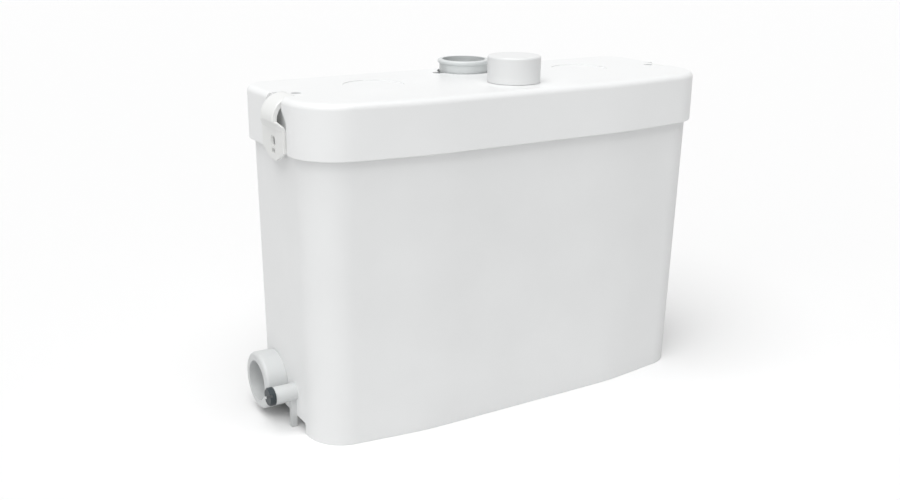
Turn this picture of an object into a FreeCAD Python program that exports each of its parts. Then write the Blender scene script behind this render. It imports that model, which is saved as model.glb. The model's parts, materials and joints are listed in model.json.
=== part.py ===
import FreeCAD, Part
import math
import os

# Compact sewage lifting pump: a sloping tank with a bowed front under a deep lid,
# two low inlets, a drain, a discharge collar, a vent cap, and the pump unit inside.
# Millimetres. Origin under the middle of the overall box, +X along the length,
# +Y to the back, +Z up.

# Overall plan of the lid
LENGTH = 400.0
DEPTH = 148.0
HEIGHT = 284.0
FRONT_FLAT = 200.0
FACET_ANGLE = 7.3
FACET_RADIUS = 300.0
FRONT_CORNER = 41.0
BACK_CORNER = 23.0

# Lid
SKIRT = 44.0
LID_WALL = 3.0
LID_EDGE = 5.0
SKIRT_EDGE = 0.9
DISH_SPACING = 214.0
DISH_BACK = 11.0
DISH_RADIUS = 25.5
DISH_DEEP = 0.5

# Tank
OVERHANG = 4.8
DRAFT = 1.0
TANK_WALL = 3.0
TANK_SPLIT = 150.0
CORNER_SPLIT = -22.0
INLET_SPLIT = 0.5
RIM_ABOVE_SKIRT = 22.0
FLOOR_LOW = 9.0
FLOOR_THICK = 2.5
GASKET_THICK = 3.0
BASE_RIB = 2.5
BASE_RIB_PITCH = 62.0
BASE_RIB_DEEP = 2.5
ARCH_HIGH = 10.0
ARCH_FRONT = -20.0
ARCH_BACK = 52.0

# Line of the clips and lid screws across the ends
END_LINE = -1.0

# Low inlets
INLET_RADIUS = 25.0
INLET_BORE = 17.6
INLET_FROM_BACK = 36.5
RIGHT_INLET_FORWARD = 2.0
INLET_UP = 30.8
INLET_STICK = 19.0
INLET_EDGE = 3.2
INLET_ROOT = 1.0
ROOT_STEP = 0.5
SEAT_STAND = 4.0
SEAT_RADIUS = 21.0
FLAP_RADIUS = 18.8
FLAP_THICK = 3.0
FLAP_PIN_UP = 24.6
FLAP_PIN = 1.5
FLAP_KNUCKLE = 3.2
FLAP_KNUCKLE_LONG = 16.0
EAR_THICK = 4.0

# Drain
DRAIN_FORWARD = 38.5
DRAIN_RADIUS = 7.4
DRAIN_BORE = 4.8
DRAIN_UP = 32.0
DRAIN_STICK = 19.4
PLUG_RADIUS = 7.9
PLUG_HEAD = 5.0
PLUG_STEM = 11.0
PLUG_SLOT = 2.2
PLUG_SLOT_DEEP = 1.8
PLUG_SLOT_TURN = 27.0
PLUG_EDGE = 1.0
PLUG_RELIEF = 1.2
PLUG_SEAL_BACK = 4.0
PLUG_SEAL_LONG = 2.0
GUSSET_THICK = 4.0
GUSSET_STICK = 5.2

# Discharge collar and riser
COLLAR_X = 2.0
COLLAR_FROM_BACK = 29.0
COLLAR_NECK = 21.8
COLLAR_BEAD = 23.4
COLLAR_BORE = 19.2
COLLAR_RISE = 10.8
BEAD_HIGH = 3.6
BEAD_ROUND = 0.42
SOCKET_WALL = 3.0
SOCKET_LONG = 16.0
ELBOW_ROOM = 5.0
COLLAR_FOOT = 4.0
COLLAR_NOTCH_LONG = 31.6
COLLAR_NOTCH_WIDE = 10.0
RISER_RADIUS = 12.5
RISER_BORE = 9.5
RISER_LEAD = 5.0
SLEEVE_WALL = 3.0
VALVE_DISC = 14.4
VALVE_THICK = 2.4
VALVE_PIN = 1.2
VALVE_KNUCKLE = 2.4
VALVE_OFFSET = 15.5
VALVE_CHAMBER = 18.9
VALVE_ROOM = 6.5
VALVE_ARM = 8.0
VALVE_RIB = 2.0
VALVE_RIB_HIGH = 1.2
VALVE_PIN_SET = 1.6

# Vent cap
CAP_X = 4.5
CAP_FROM_BACK = 104.6
CAP_RADIUS = 22.5
CAP_HIGH = 22.3
CAP_WALL = 2.2
CAP_EDGE = 1.9
CAP_LIFT = 0.3
VENT_RADIUS = 17.0
VENT_BORE = 14.5
VENT_HIGH = 13.0
VENT_FLANGE = 21.5
FILTER_THICK = 4.5
CAP_FEET = 4
CAP_FOOT_LONG = 4.4
CAP_FOOT_THICK = 2.0
GRILLE_DROP = 3.0
GRILLE_THICK = 2.0
GRILLE_PITCH = 4.6
GRILLE_SLOT = 2.2
GRILLE_SPAN = 0.7

# End clips
CLIP_WIDE = 24.0
CLIP_THICK = 4.0
CLIP_BULGE = 7.0
CLIP_BEND = 17.5
CLIP_EDGE = 1.2
CLIP_LUG = 42.3
CLIP_LUG_THICK = 2.6
CLIP_PROUD = 2.0
CLIP_DROP = 6.3
CLIP_TIP = 8.0
CLIP_NOSE = 11.6
CLIP_HOLE = 4.7
CLIP_HOLE_UP = 14.5
CLIP_SLOT_UP = 7.2
CLIP_SLOT_LONG = 7.0
CLIP_SLOT_HIGH = 3.4
CLIP_KNUCKLE = 3.2
CLIP_HEEL = 4.1
CLIP_PIN = 1.5
CLIP_PIN_SHORT = 0.8
CLIP_SHOULDER = 2.0
CLIP_SHOULDER_DROP = 1.5
CLIP_SHOULDER_END = 7.5
CLIP_LUG_TOP = 3.0
CLIP_LUG_RISE = 0.5
PEG_RADIUS = 3.8
POCKET_WALL = 2.4
CHANNEL_TOP = 29.0
CHANNEL_ROOM = 1.2
CHANNEL_SHOULDER = 4.0
CHANNEL_RISE = 8.0
BACKING_WALL = 1.2
BACKING_GAP = 0.4

# Lid screws
SCREW_X = 181.0
SCREW_HOLE = 4.0
SCREW_HEAD = 3.6
SCREW_HEAD_HIGH = 3.0
SCREW_SINK = 2.6
SCREW_SHANK = 2.0
SCREW_LONG = 42.0
POST_RADIUS = 5.6
POST_WEB = 3.0
POST_BELOW = 6.0
SCREW_EDGE = 0.6
CROSS_LONG = 5.2
CROSS_WIDE = 1.0
CROSS_DEEP = 1.4

# Pump unit
PUMP_X = 62.0
PUMP_Y = -2.0
STRAINER_HIGH = 14.0
STRAINER_RADIUS = 38.0
STRAINER_WALL = 3.0
STRAINER_SLOTS = 16
STRAINER_SLOT = 5.0
STRAINER_BAND = 4.0
VOLUTE_RADIUS = 46.0
VOLUTE_HIGH = 26.0
VOLUTE_WALL = 4.0
SUCTION_RADIUS = 17.0
VOLUTE_EDGE = 2.0
IMPELLER_ROOM = 3.0
IMPELLER_GAP = 1.5
IMPELLER_RADIUS = 34.0
IMPELLER_HIGH = 11.0
IMPELLER_PLATE = 3.0
VANES = 6
VANE_THICK = 2.4
VANE_LEAN = 22.0
HUB_WALL = 4.0
CUTTER_RADIUS = 15.0
CUTTER_THICK = 2.5
BLADE_WIDE = 8.0
NUT_HIGH = 3.0
BRACKET_HIGH = 22.0
FIN_DEEP = 4.0
FIN_UP = 7.0
FIN_HIGH = 3.0
SHAFT_ROOM = 1.5
MOTOR_RADIUS = 44.0
MOTOR_WALL = 2.0
MOTOR_HIGH = 92.0
COVER_HIGH = 14.0
COVER_STEP = 1.0
COVER_EDGE = 4.0
COVER_SPIGOT = 5.0
COVER_SPIGOT_WALL = 2.5
COVER_ROOM = 9.0
ENTRY_RADIUS = 7.0
ENTRY_OUT = 26.0
ENTRY_HIGH = 8.0
STATOR_UP = 22.0
STATOR_RADIUS = 41.8
STATOR_HIGH = 48.0
STATOR_TEETH = 12
ROTOR_RADIUS = 23.0
AIR_GAP = 0.6
WINDING_HIGH = 11.0
WINDING_HALF = 6.0
WINDING_EDGE = 3.0
SLOT_RADIUS = 4.2
BUNDLE_RADIUS = 3.8
SHAFT_RADIUS = 5.0
BEARING_RADIUS = 13.0
BEARING_HIGH = 9.0
BEARING_RING = 2.6
BEARING_SHIELD = 1.2
SEAL_RADIUS = 10.0
SEAL_HIGH = 6.0
PUMP_EARS = 3
EAR_TURN = 82.0
EAR_RIM = 1.5
EAR_HIGH = 6.0
FOOT_SCREW = 1.6
FOOT_HOLE = 2.2
BUSH_RADIUS = 6.5
BUSH_HIGH = 6.0
EAR_STEP = 2.0

# Level switch and electrics
CHAMBER_X = -84.0
CHAMBER_Y = -2.0
CHAMBER_RADIUS = 22.0
CHAMBER_WALL = 2.5
CHAMBER_FOOT = 24.0
CHAMBER_NOTCH_WIDE = 10.0
CHAMBER_NOTCH_HIGH = 12.0
DECK_UP = 202.0
LEDGE = 12.0
LEDGE_HOLD = 5.0
DECK_THICK = 3.0
DECK_LONG = 140.0
DECK_WIDE = 104.0
DECK_EDGE = 8.0
DECK_SCREW = 3.5
DECK_SCREW_HIGH = 2.5
DECK_SCREW_IN = 5.5
SWITCH_HIGH = 16.0
SWITCH_RADIUS = 28.0
SWITCH_EDGE = 2.0
SWITCH_ROOF = 3.0
SWITCH_RIM = 4.0
MEMBRANE_UP = 6.0
MEMBRANE_THICK = 1.5
PLUNGER_RADIUS = 4.0
PLUNGER_TRAVEL = 2.0
PLUNGER_PROUD = 2.0
PLUNGER_FOOT = 1.6
PLUNGER_FOOT_IN = 8.0
MICRO_LONG = 28.0
MICRO_WIDE = 10.0
MICRO_HIGH = 15.0
MICRO_LEG = 4.0
MICRO_LEG_IN = 2.0
TAB_THICK = 0.8
TAB_WIDE = 4.8
TAB_HIGH = 7.0
TAB_PITCH = 9.0
CAPACITOR_RADIUS = 15.0
CAPACITOR_LONG = 66.0
CAPACITOR_GAP = 5.0
CAPACITOR_TAB_WIDE = 6.0
CAPACITOR_TAB_HIGH = 5.0
CAPACITOR_TAB_PITCH = 12.0
STRAP_WALL = 2.0
STRAP_HIGH = 24.0
STRAP_FOOT = 12.0
STRAP_WIDE = 10.0
BLOCK_LONG = 40.0
BLOCK_WIDE = 18.0
BLOCK_HIGH = 15.0
BLOCK_GAP = 8.0
BLOCK_WAYS = 4
BLOCK_SCREW = 2.4
BLOCK_WIRE = 2.2
BLOCK_WIRE_UP = 5.0
GROMMET_RADIUS = 7.0
GROMMET_BORE = 3.6
GROMMET_LIP = 2.0
GROMMET_X = -60.0
GROMMET_DROP = 6.0

# Clearances
SLIP = 0.3
RUN = 0.05
LOOSE = 0.5
SEAT = 0.3
CLOSE = 0.15

# Levels worked out from the sizes above
SKIRT_Z = HEIGHT - SKIRT
RIM_Z = SKIRT_Z + RIM_ABOVE_SKIRT
FLOOR_Z = FLOOR_LOW + FLOOR_THICK
LID_UNDER = HEIGHT - LID_WALL
BACK_Y = DEPTH / 2
FRONT_Y = -DEPTH / 2
INLET_Y = BACK_Y - INLET_FROM_BACK
DRAIN_Y = INLET_Y - DRAIN_FORWARD
CAP_Y = BACK_Y - CAP_FROM_BACK
COLLAR_Y = BACK_Y - COLLAR_FROM_BACK
HALF = LENGTH / 2
SLOPE = math.tan(math.radians(DRAFT))
VOLUTE_Z = FLOOR_Z + STRAINER_HIGH
BRACKET_Z = VOLUTE_Z + VOLUTE_HIGH
MOTOR_Z = BRACKET_Z + BRACKET_HIGH
COVER_Z = MOTOR_Z + MOTOR_HIGH
COLLAR_TOP = HEIGHT + COLLAR_RISE
COLLAR_Z = RIM_Z + GASKET_THICK + LOOSE
DECK_TOP = DECK_UP + DECK_THICK

V = FreeCAD.Vector
UP = V(0, 0, 1)


# Plan shapes

def plan_corners(side, front, back):
    """Corners of the plan with each edge moved inwards, and its rounding radii."""
    rise = (HALF - FRONT_FLAT / 2) * math.tan(math.radians(FACET_ANGLE))
    points = [(-HALF, BACK_Y), (-HALF, FRONT_Y + rise), (-FRONT_FLAT / 2, FRONT_Y),
              (FRONT_FLAT / 2, FRONT_Y), (HALF, FRONT_Y + rise), (HALF, BACK_Y)]
    moves = [side, front, front, front, side, back]
    lines = []
    for i, (x, y) in enumerate(points):
        nx, ny = points[(i + 1) % len(points)]
        size = math.hypot(nx - x, ny - y)
        ux, uy = (nx - x) / size, (ny - y) / size
        lines.append((x - uy * moves[i], y + ux * moves[i], ux, uy))
    corners = []
    for i, (x, y, ux, uy) in enumerate(lines):
        px, py, vx, vy = lines[i - 1]
        cross = vx * uy - vy * ux
        t = ((x - px) * uy - (y - py) * ux) / cross
        corners.append(V(px + vx * t, py + vy * t, 0))
    mean = (side + front) / 2
    radii = [BACK_CORNER - side, FRONT_CORNER - mean, FACET_RADIUS - front,
             FACET_RADIUS - front, FRONT_CORNER - mean, BACK_CORNER - side]
    return corners, [max(r, 1.0) for r in radii]


def rounded_wire(points, radii, z):
    """Closed wire of lines and tangent arcs through rounded corners."""
    starts, middles, ends = [], [], []
    for i, p in enumerate(points):
        a = (points[i - 1] - p).normalize()
        b = (points[(i + 1) % len(points)] - p).normalize()
        half = math.acos(max(-1, min(1, a.dot(b)))) / 2
        reach = radii[i] / math.tan(half)
        centre = p + (a + b).normalize() * (radii[i] / math.sin(half))
        starts.append(p + a * reach)
        ends.append(p + b * reach)
        middles.append(centre + (p - centre).normalize() * radii[i])
    edges = []
    level = V(0, 0, z)
    for i in range(len(points)):
        edges.append(Part.Arc(starts[i] + level, middles[i] + level, ends[i] + level).toShape())
        edges.append(Part.makeLine(ends[i] + level, starts[(i + 1) % len(points)] + level))
    return Part.Wire(edges)


def lid_prism(inset, z0, z1):
    corners, radii = plan_corners(inset, inset, inset)
    face = Part.Face(rounded_wire(corners, radii, z0))
    return face.extrude(V(0, 0, z1 - z0))


def tank_wire(extra, z):
    lean = max(0.0, SKIRT_Z - z) * SLOPE
    corners, radii = plan_corners(OVERHANG + extra + lean, OVERHANG + extra + lean, OVERHANG + extra)
    return rounded_wire(corners, radii, z)


def tank_solid(extra, z0, z1):
    """Sloping body with its straight top band, moved inwards by extra."""
    low = Part.makeLoft([tank_wire(extra, z0), tank_wire(extra, min(z1, SKIRT_Z))], True, True)
    if z1 <= SKIRT_Z:
        return low
    band = Part.Face(tank_wire(extra, SKIRT_Z)).extrude(V(0, 0, z1 - SKIRT_Z))
    return low.fuse(band)


# Small helpers

def box(x0, x1, y0, y1, z0, z1):
    return Part.makeBox(x1 - x0, y1 - y0, z1 - z0, V(x0, y0, z0))


def rod(r, x, y, z0, z1):
    return Part.makeCylinder(r, z1 - z0, V(x, y, z0), UP)


def tube(r, bore, x, y, z0, z1):
    return rod(r, x, y, z0, z1).cut(rod(bore, x, y, z0 - 1, z1 + 1))


def rod_x(r, x0, x1, y, z):
    return Part.makeCylinder(r, x1 - x0, V(x0, y, z), V(1, 0, 0))


def rod_y(r, y0, y1, x, z):
    return Part.makeCylinder(r, y1 - y0, V(x, y0, z), V(0, 1, 0))


def fused(first, *others):
    return first.fuse(list(others)).removeSplitter() if others else first


def around(count, radius, x, y, start=0.0):
    """Places on a circle about x, y."""
    for i in range(count):
        turn = math.radians(start) + 2 * math.pi * i / count
        yield x + radius * math.cos(turn), y + radius * math.sin(turn), math.degrees(turn)


def mirrored(shape, side):
    """The shape as made for the left end, or its mirror for the right."""
    return shape if side < 0 else shape.mirror(V(0, 0, 0), V(1, 0, 0))


def end_wall(z):
    """Outer face of the left end wall at a level, as a distance from the middle."""
    return HALF - OVERHANG - max(0.0, SKIRT_Z - z) * SLOPE


def inlet_y(side):
    """The right inlet stands a little further forward, clear of the riser's elbow."""
    return INLET_Y if side < 0 else INLET_Y - RIGHT_INLET_FORWARD


def edges_at(shape, z, tol=0.01):
    return [e for e in shape.Edges if abs(e.BoundBox.ZMin - z) < tol and abs(e.BoundBox.ZMax - z) < tol]


# Values shared by several pieces
FLAP_PIN_Z = INLET_UP + FLAP_PIN_UP
INLET_REACH = end_wall(INLET_UP) + INLET_STICK
DRAIN_REACH = end_wall(DRAIN_UP) + DRAIN_STICK
SEAT_X = end_wall(INLET_UP) - TANK_WALL - SEAT_STAND
FLAP_X = SEAT_X - SEAT - FLAP_THICK / 2
SCREW_TOP = HEIGHT - SCREW_SINK
EAR_RING = VOLUTE_RADIUS + BUSH_RADIUS + SLIP
EAR_Z = VOLUTE_Z + EAR_STEP
IMPELLER_Z = VOLUTE_Z + VOLUTE_WALL + IMPELLER_GAP
CUTTER_Z = VOLUTE_Z - CUTTER_THICK - 3.0
LOWER_BEARING_Z = MOTOR_Z - BEARING_HIGH - 3.0
SEAL_Z = BRACKET_Z + 1.0
STATOR_Z = MOTOR_Z + STATOR_UP
UPPER_BEARING_Z = COVER_Z - BEARING_HIGH - 1.0
KNUCKLE_X = HALF - CLIP_BEND + CLIP_BULGE
KNUCKLE_Z = HEIGHT - CLIP_KNUCKLE - 0.4
BEND_X = HALF - CLIP_BEND + CLIP_BULGE
BEND_Z = HEIGHT - CLIP_BEND
STEP_Z = BEND_Z - 1.0
LUG_FACE = HALF + CLIP_PROUD
LUG_LOW = SKIRT_Z - CLIP_DROP
PEG_Z = LUG_LOW + CLIP_HOLE_UP
NOTCH_RADIUS = CLIP_HEEL + CLOSE
SWITCH_Z = DECK_TOP
GROMMET_Z = SKIRT_Z - GROMMET_RADIUS - GROMMET_DROP
PLUNGER_Z = SWITCH_Z + MEMBRANE_UP + MEMBRANE_THICK


# Tank

def base_cavity():
    """The open space under the tank floor, less its stiffening ribs."""
    space = tank_solid(TANK_WALL, -1.0, FLOOR_LOW)
    low = FLOOR_LOW - BASE_RIB_DEEP
    ribs = []
    count = int(LENGTH / BASE_RIB_PITCH) // 2
    for i in range(-count, count + 1):
        x = i * BASE_RIB_PITCH
        if abs(x) < end_wall(0) - BASE_RIB_PITCH / 3:
            ribs.append(box(x - BASE_RIB / 2, x + BASE_RIB / 2, -DEPTH, DEPTH, low, FLOOR_LOW + 1))
    ribs.append(box(-LENGTH, LENGTH, -BASE_RIB / 2, BASE_RIB / 2, low, FLOOR_LOW + 1))
    return space.cut(ribs[0].fuse(ribs[1:]))


def flap_ears(side):
    """Two ears on the end wall that carry the pin of an inlet flap."""
    y0 = inlet_y(side)
    inner = FLAP_KNUCKLE_LONG / 2 + SLIP
    ears = []
    for sign in (-1, 1):
        y = y0 + sign * (inner + EAR_THICK / 2)
        ear = box(-(SEAT_X + SEAT_STAND + 1.0), -(FLAP_X - FLAP_KNUCKLE),
                  y - EAR_THICK / 2, y + EAR_THICK / 2, FLAP_PIN_Z - FLAP_KNUCKLE, FLAP_PIN_Z + FLAP_KNUCKLE)
        ears.append(ear)
    pair = ears[0].fuse(ears[1])
    pair = pair.cut(rod_y(FLAP_PIN, y0 - DEPTH, y0 + DEPTH, -FLAP_X, FLAP_PIN_Z))
    return mirrored(pair, side)


def inlet_outside(side):
    """The stub's full outer shape: tube, slightly smaller root in the end wall, and raised seat inside."""
    y0 = inlet_y(side)
    face = end_wall(INLET_UP) + INLET_ROOT
    wall = end_wall(INLET_UP) - TANK_WALL - INLET_RADIUS * SLOPE - SLIP
    stub = rod_x(INLET_RADIUS, -INLET_REACH, -face, y0, INLET_UP)
    rim = [e for e in stub.Edges if abs(e.BoundBox.XMax + INLET_REACH) < 0.01]
    stub = stub.makeFillet(INLET_EDGE, rim)
    root = rod_x(INLET_RADIUS - ROOT_STEP, -(face + 1.0), -wall, y0, INLET_UP)
    seat = rod_x(SEAT_RADIUS, -(wall + 1.0), -SEAT_X, y0, INLET_UP)
    return mirrored(stub.fuse([root, seat]), side)


def inlet_bore(side):
    return mirrored(rod_x(INLET_BORE, -INLET_REACH - 1, -SEAT_X + 1, inlet_y(side), INLET_UP), side)


def make_inlet_stub(side):
    return inlet_outside(side).cut(inlet_bore(side))


def drain_outside(side):
    wall = end_wall(DRAIN_UP) - TANK_WALL / 2
    return mirrored(rod_x(DRAIN_RADIUS, -DRAIN_REACH, -wall, DRAIN_Y, DRAIN_UP), side)


def drain_bore(side):
    inner = end_wall(DRAIN_UP) - TANK_WALL - 1.0
    return mirrored(rod_x(DRAIN_BORE, -DRAIN_REACH - 1, -inner, DRAIN_Y, DRAIN_UP), side)


def make_drain_spout(side):
    """Drain tube on an upright gusset that reaches down to the floor."""
    near = end_wall(0) + GUSSET_STICK
    plate = box(-near, -end_wall(0), DRAIN_Y - GUSSET_THICK / 2,
                DRAIN_Y + GUSSET_THICK / 2, 0, DRAIN_UP - DRAIN_RADIUS + 1)
    plate = mirrored(plate, side).cut(tank_solid(0.0, ARCH_HIGH, RIM_Z))
    return drain_outside(side).fuse(plate).cut(drain_bore(side))


def end_arch(side):
    """Cut under the end wall between the front foot and the back foot."""
    cut = box(-LENGTH, -(end_wall(0) - TANK_WALL - 2.0), ARCH_FRONT, ARCH_BACK, -1, ARCH_HIGH)
    return mirrored(cut, side)


def screw_column(side):
    """Boss inside the end wall that takes a lid screw."""
    low = SCREW_TOP - SCREW_LONG - POST_BELOW
    column = rod(POST_RADIUS, -SCREW_X, END_LINE, low, RIM_Z - 2.0)
    web = box(-(end_wall(low) - TANK_WALL / 2), -SCREW_X, END_LINE - POST_WEB / 2, END_LINE + POST_WEB / 2,
              low, RIM_Z - 2.0)
    hole = rod(SCREW_SHANK + SLIP, -SCREW_X, END_LINE, low + 3.0, RIM_Z)
    return mirrored(column.fuse(web).cut(hole), side)


def catch_peg(side):
    start = end_wall(PEG_Z)
    peg = rod_x(PEG_RADIUS, -(LUG_FACE - CLIP_LUG_THICK - SLIP), -start, END_LINE, PEG_Z)
    return mirrored(peg, side)


def deck_ledges(sign):
    """Two ledges on one long wall that the component deck rests on."""
    near, far = sorted((sign * (DECK_WIDE / 2 - LEDGE_HOLD), sign * DEPTH))
    ledges = []
    for x in (CHAMBER_X - DECK_LONG / 3, CHAMBER_X + DECK_LONG / 3):
        ledge = box(x - LEDGE / 2, x + LEDGE / 2, near, far, DECK_UP - LEDGE, DECK_UP)
        ledges += ledge.common(INSIDE).Solids
    return ledges


def make_pump_bosses():
    """Bosses on the floor under the ears of the pump."""
    bosses = [tube(BUSH_RADIUS, FOOT_SCREW, x, y, FLOOR_Z, EAR_Z - BUSH_HIGH)
              for x, y, turn in around(PUMP_EARS, EAR_RING, PUMP_X, PUMP_Y, EAR_TURN)]
    return Part.makeCompound(bosses)


def tank_walls():
    """The bare walls in one ring, with the openings in them."""
    body = tank_solid(0.0, 0.0, RIM_Z).cut(INSIDE)
    for side in (-1, 1):
        body = body.cut([end_arch(side), inlet_outside(side), inlet_bore(side), drain_outside(side),
                         drain_bore(side)])
    grommet = rod_y(GROMMET_RADIUS, 0, DEPTH, GROMMET_X, GROMMET_Z)
    return body.cut(grommet)


def wall_part(x0, x1, y0, y1):
    """A stretch of the walls, parted from the rest where they are flat."""
    return WALLS.common(box(x0, x1, y0, y1, -1, HEIGHT)).Solids


def make_long_wall(sign):
    y0, y1 = sorted((0, sign * DEPTH))
    return Part.makeCompound(wall_part(-TANK_SPLIT, TANK_SPLIT, y0, y1) + deck_ledges(sign))


def make_tank_end(side):
    """End wall with its corners, and on it the flap's ears, the screw column and the catch peg."""
    x0, x1 = sorted((side * TANK_SPLIT, side * LENGTH))
    beside_inlet = inlet_y(side) + INLET_RADIUS + INLET_SPLIT
    seams = [-DEPTH, CORNER_SPLIT, beside_inlet, DEPTH]
    walls = []
    for y0, y1 in zip(seams, seams[1:]):
        walls += wall_part(x0, x1, y0, y1)
    inner = [shape.common(INSIDE).cut(inlet_outside(side)) for shape in (flap_ears(side), screw_column(side))]
    return Part.makeCompound(walls + inner[0].Solids + inner[1].Solids + catch_peg(side).Solids)


def make_tank_floor():
    """Floor plate with its ribs below."""
    plate = tank_solid(TANK_WALL, FLOOR_LOW - BASE_RIB_DEEP, FLOOR_Z).cut(base_cavity())
    for side in (-1, 1):
        plate = plate.cut([end_arch(side), inlet_outside(side)])
    return plate


# Lid

def clip_pocket(side):
    """Walls and floor that close the notch which the clip's leg sits in."""
    wide = CLIP_WIDE / 2 + CLOSE + POCKET_WALL
    inner = KNUCKLE_X - NOTCH_RADIUS
    low = KNUCKLE_Z - NOTCH_RADIUS
    outer = box(-(HALF - OVERHANG - 0.2), -(inner - POCKET_WALL), END_LINE - wide, END_LINE + wide,
                low - POCKET_WALL, LID_UNDER + 1)
    return mirrored(outer, side)


def channel_backing(side):
    """Thin wall behind the clip's channel, so the channel doesn't open into the lid."""
    wide = CLIP_LUG / 2 + 2 * CHANNEL_ROOM
    face = HALF - OVERHANG + BACKING_GAP
    wall = box(-(face + BACKING_WALL + 1.0), -face, END_LINE - wide, END_LINE + wide,
               SKIRT_Z, LID_UNDER + 0.5)
    return mirrored(wall, side)


def clip_notch(side):
    wide = CLIP_WIDE / 2 + CLOSE
    low = KNUCKLE_Z - NOTCH_RADIUS
    notch = box(-HALF - 1, -KNUCKLE_X, END_LINE - wide, END_LINE + wide, low, HEIGHT + 1)
    heel = rod_y(NOTCH_RADIUS, END_LINE - wide, END_LINE + wide, -KNUCKLE_X, KNUCKLE_Z)
    face = HALF - OVERHANG + BACKING_GAP + BACKING_WALL
    top = CHANNEL_TOP / 2
    foot = CLIP_LUG / 2 + CHANNEL_ROOM
    shoulder = SKIRT_Z + RIM_ABOVE_SKIRT + CHANNEL_SHOULDER
    outline = [(-foot, SKIRT_Z - 1), (foot, SKIRT_Z - 1), (foot, shoulder), (top, shoulder + CHANNEL_RISE),
               (top, HEIGHT + 1), (-top, HEIGHT + 1), (-top, shoulder + CHANNEL_RISE), (-foot, shoulder)]
    points = [V(-HALF - 1, END_LINE + y, z) for y, z in outline]
    channel = Part.Face(Part.makePolygon(points + points[:1])).extrude(V(HALF + 1 - face, 0, 0))
    pin = rod_y(CLIP_PIN, END_LINE - wide - POCKET_WALL + 0.8, END_LINE + wide + POCKET_WALL - 0.8,
                -KNUCKLE_X, KNUCKLE_Z)
    peg_way = box(-HALF, -(HALF - OVERHANG), END_LINE - PEG_RADIUS - LOOSE, END_LINE + PEG_RADIUS + LOOSE,
                  SKIRT_Z - 1, PEG_Z)
    peg_top = rod_x(PEG_RADIUS + LOOSE, -HALF, -(HALF - OVERHANG), END_LINE, PEG_Z)
    return mirrored(notch.fuse([heel, channel, pin, peg_way, peg_top]), side)


def make_lid():
    shell = lid_prism(0.0, SKIRT_Z, HEIGHT)
    shell = shell.makeFillet(LID_EDGE, edges_at(shell, HEIGHT))
    shell = shell.makeFillet(SKIRT_EDGE, edges_at(shell, SKIRT_Z))
    shell = shell.cut(lid_prism(LID_WALL, SKIRT_Z - 1, LID_UNDER))
    rib_low = RIM_Z + GASKET_THICK + SLIP
    rib = lid_prism(OVERHANG, rib_low, LID_UNDER + 0.5).cut(
        lid_prism(OVERHANG + TANK_WALL, rib_low - 1, LID_UNDER + 1))
    adds = [rib]
    for side in (-1, 1):
        adds += [clip_pocket(side), channel_backing(side)]
        adds.append(rod(POST_RADIUS, side * SCREW_X, END_LINE, RIM_Z, LID_UNDER + 0.5))
    shell = shell.fuse(adds)
    notch = COLLAR_NOTCH_WIDE / 2
    cuts = [rod(COLLAR_BEAD + LOOSE, COLLAR_X, COLLAR_Y, COLLAR_Z - 1, HEIGHT + 1),
            box(COLLAR_X - COLLAR_NOTCH_LONG + notch, COLLAR_X, COLLAR_Y - notch, COLLAR_Y + notch,
                LID_UNDER - 1, HEIGHT + 1),
            rod(notch, COLLAR_X - COLLAR_NOTCH_LONG + notch, COLLAR_Y, LID_UNDER - 1, HEIGHT + 1),
            rod(VENT_FLANGE, CAP_X, CAP_Y, LID_UNDER - 1, HEIGHT + 1)]
    for side in (-1, 1):
        cuts.append(clip_notch(side))
        cuts.append(rod(SCREW_HOLE, side * SCREW_X, END_LINE, SCREW_TOP - SCREW_HEAD_HIGH, HEIGHT + 1))
        cuts.append(rod(SCREW_SHANK + SLIP, side * SCREW_X, END_LINE, RIM_Z - 1, HEIGHT))
        cuts.append(rod(DISH_RADIUS, side * DISH_SPACING / 2, DISH_BACK, HEIGHT - DISH_DEEP, HEIGHT + 1))
    shell = shell.cut(cuts[0].fuse(cuts[1:]))
    return shell


def make_gasket():
    outer = lid_prism(OVERHANG + 0.3, RIM_Z, RIM_Z + GASKET_THICK)
    return outer.cut(lid_prism(OVERHANG + TANK_WALL - 0.3, RIM_Z - 1, RIM_Z + GASKET_THICK + 1))


def lid_screw(side):
    x = side * SCREW_X
    low = SCREW_TOP - SCREW_HEAD_HIGH
    head = rod(SCREW_HEAD, x, END_LINE, low, SCREW_TOP)
    head = head.makeFillet(SCREW_EDGE, edges_at(head, SCREW_TOP))
    for turn in (0, 90):
        slot = box(x - CROSS_LONG / 2, x + CROSS_LONG / 2,
                   END_LINE - CROSS_WIDE / 2, END_LINE + CROSS_WIDE / 2,
                   SCREW_TOP - CROSS_DEEP, SCREW_TOP + 1)
        slot.rotate(V(x, END_LINE, 0), UP, turn)
        head = head.cut(slot)
    shank = rod(SCREW_SHANK, x, END_LINE, SCREW_TOP - SCREW_LONG, low)
    return head.fuse(shank)


# End clips

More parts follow.
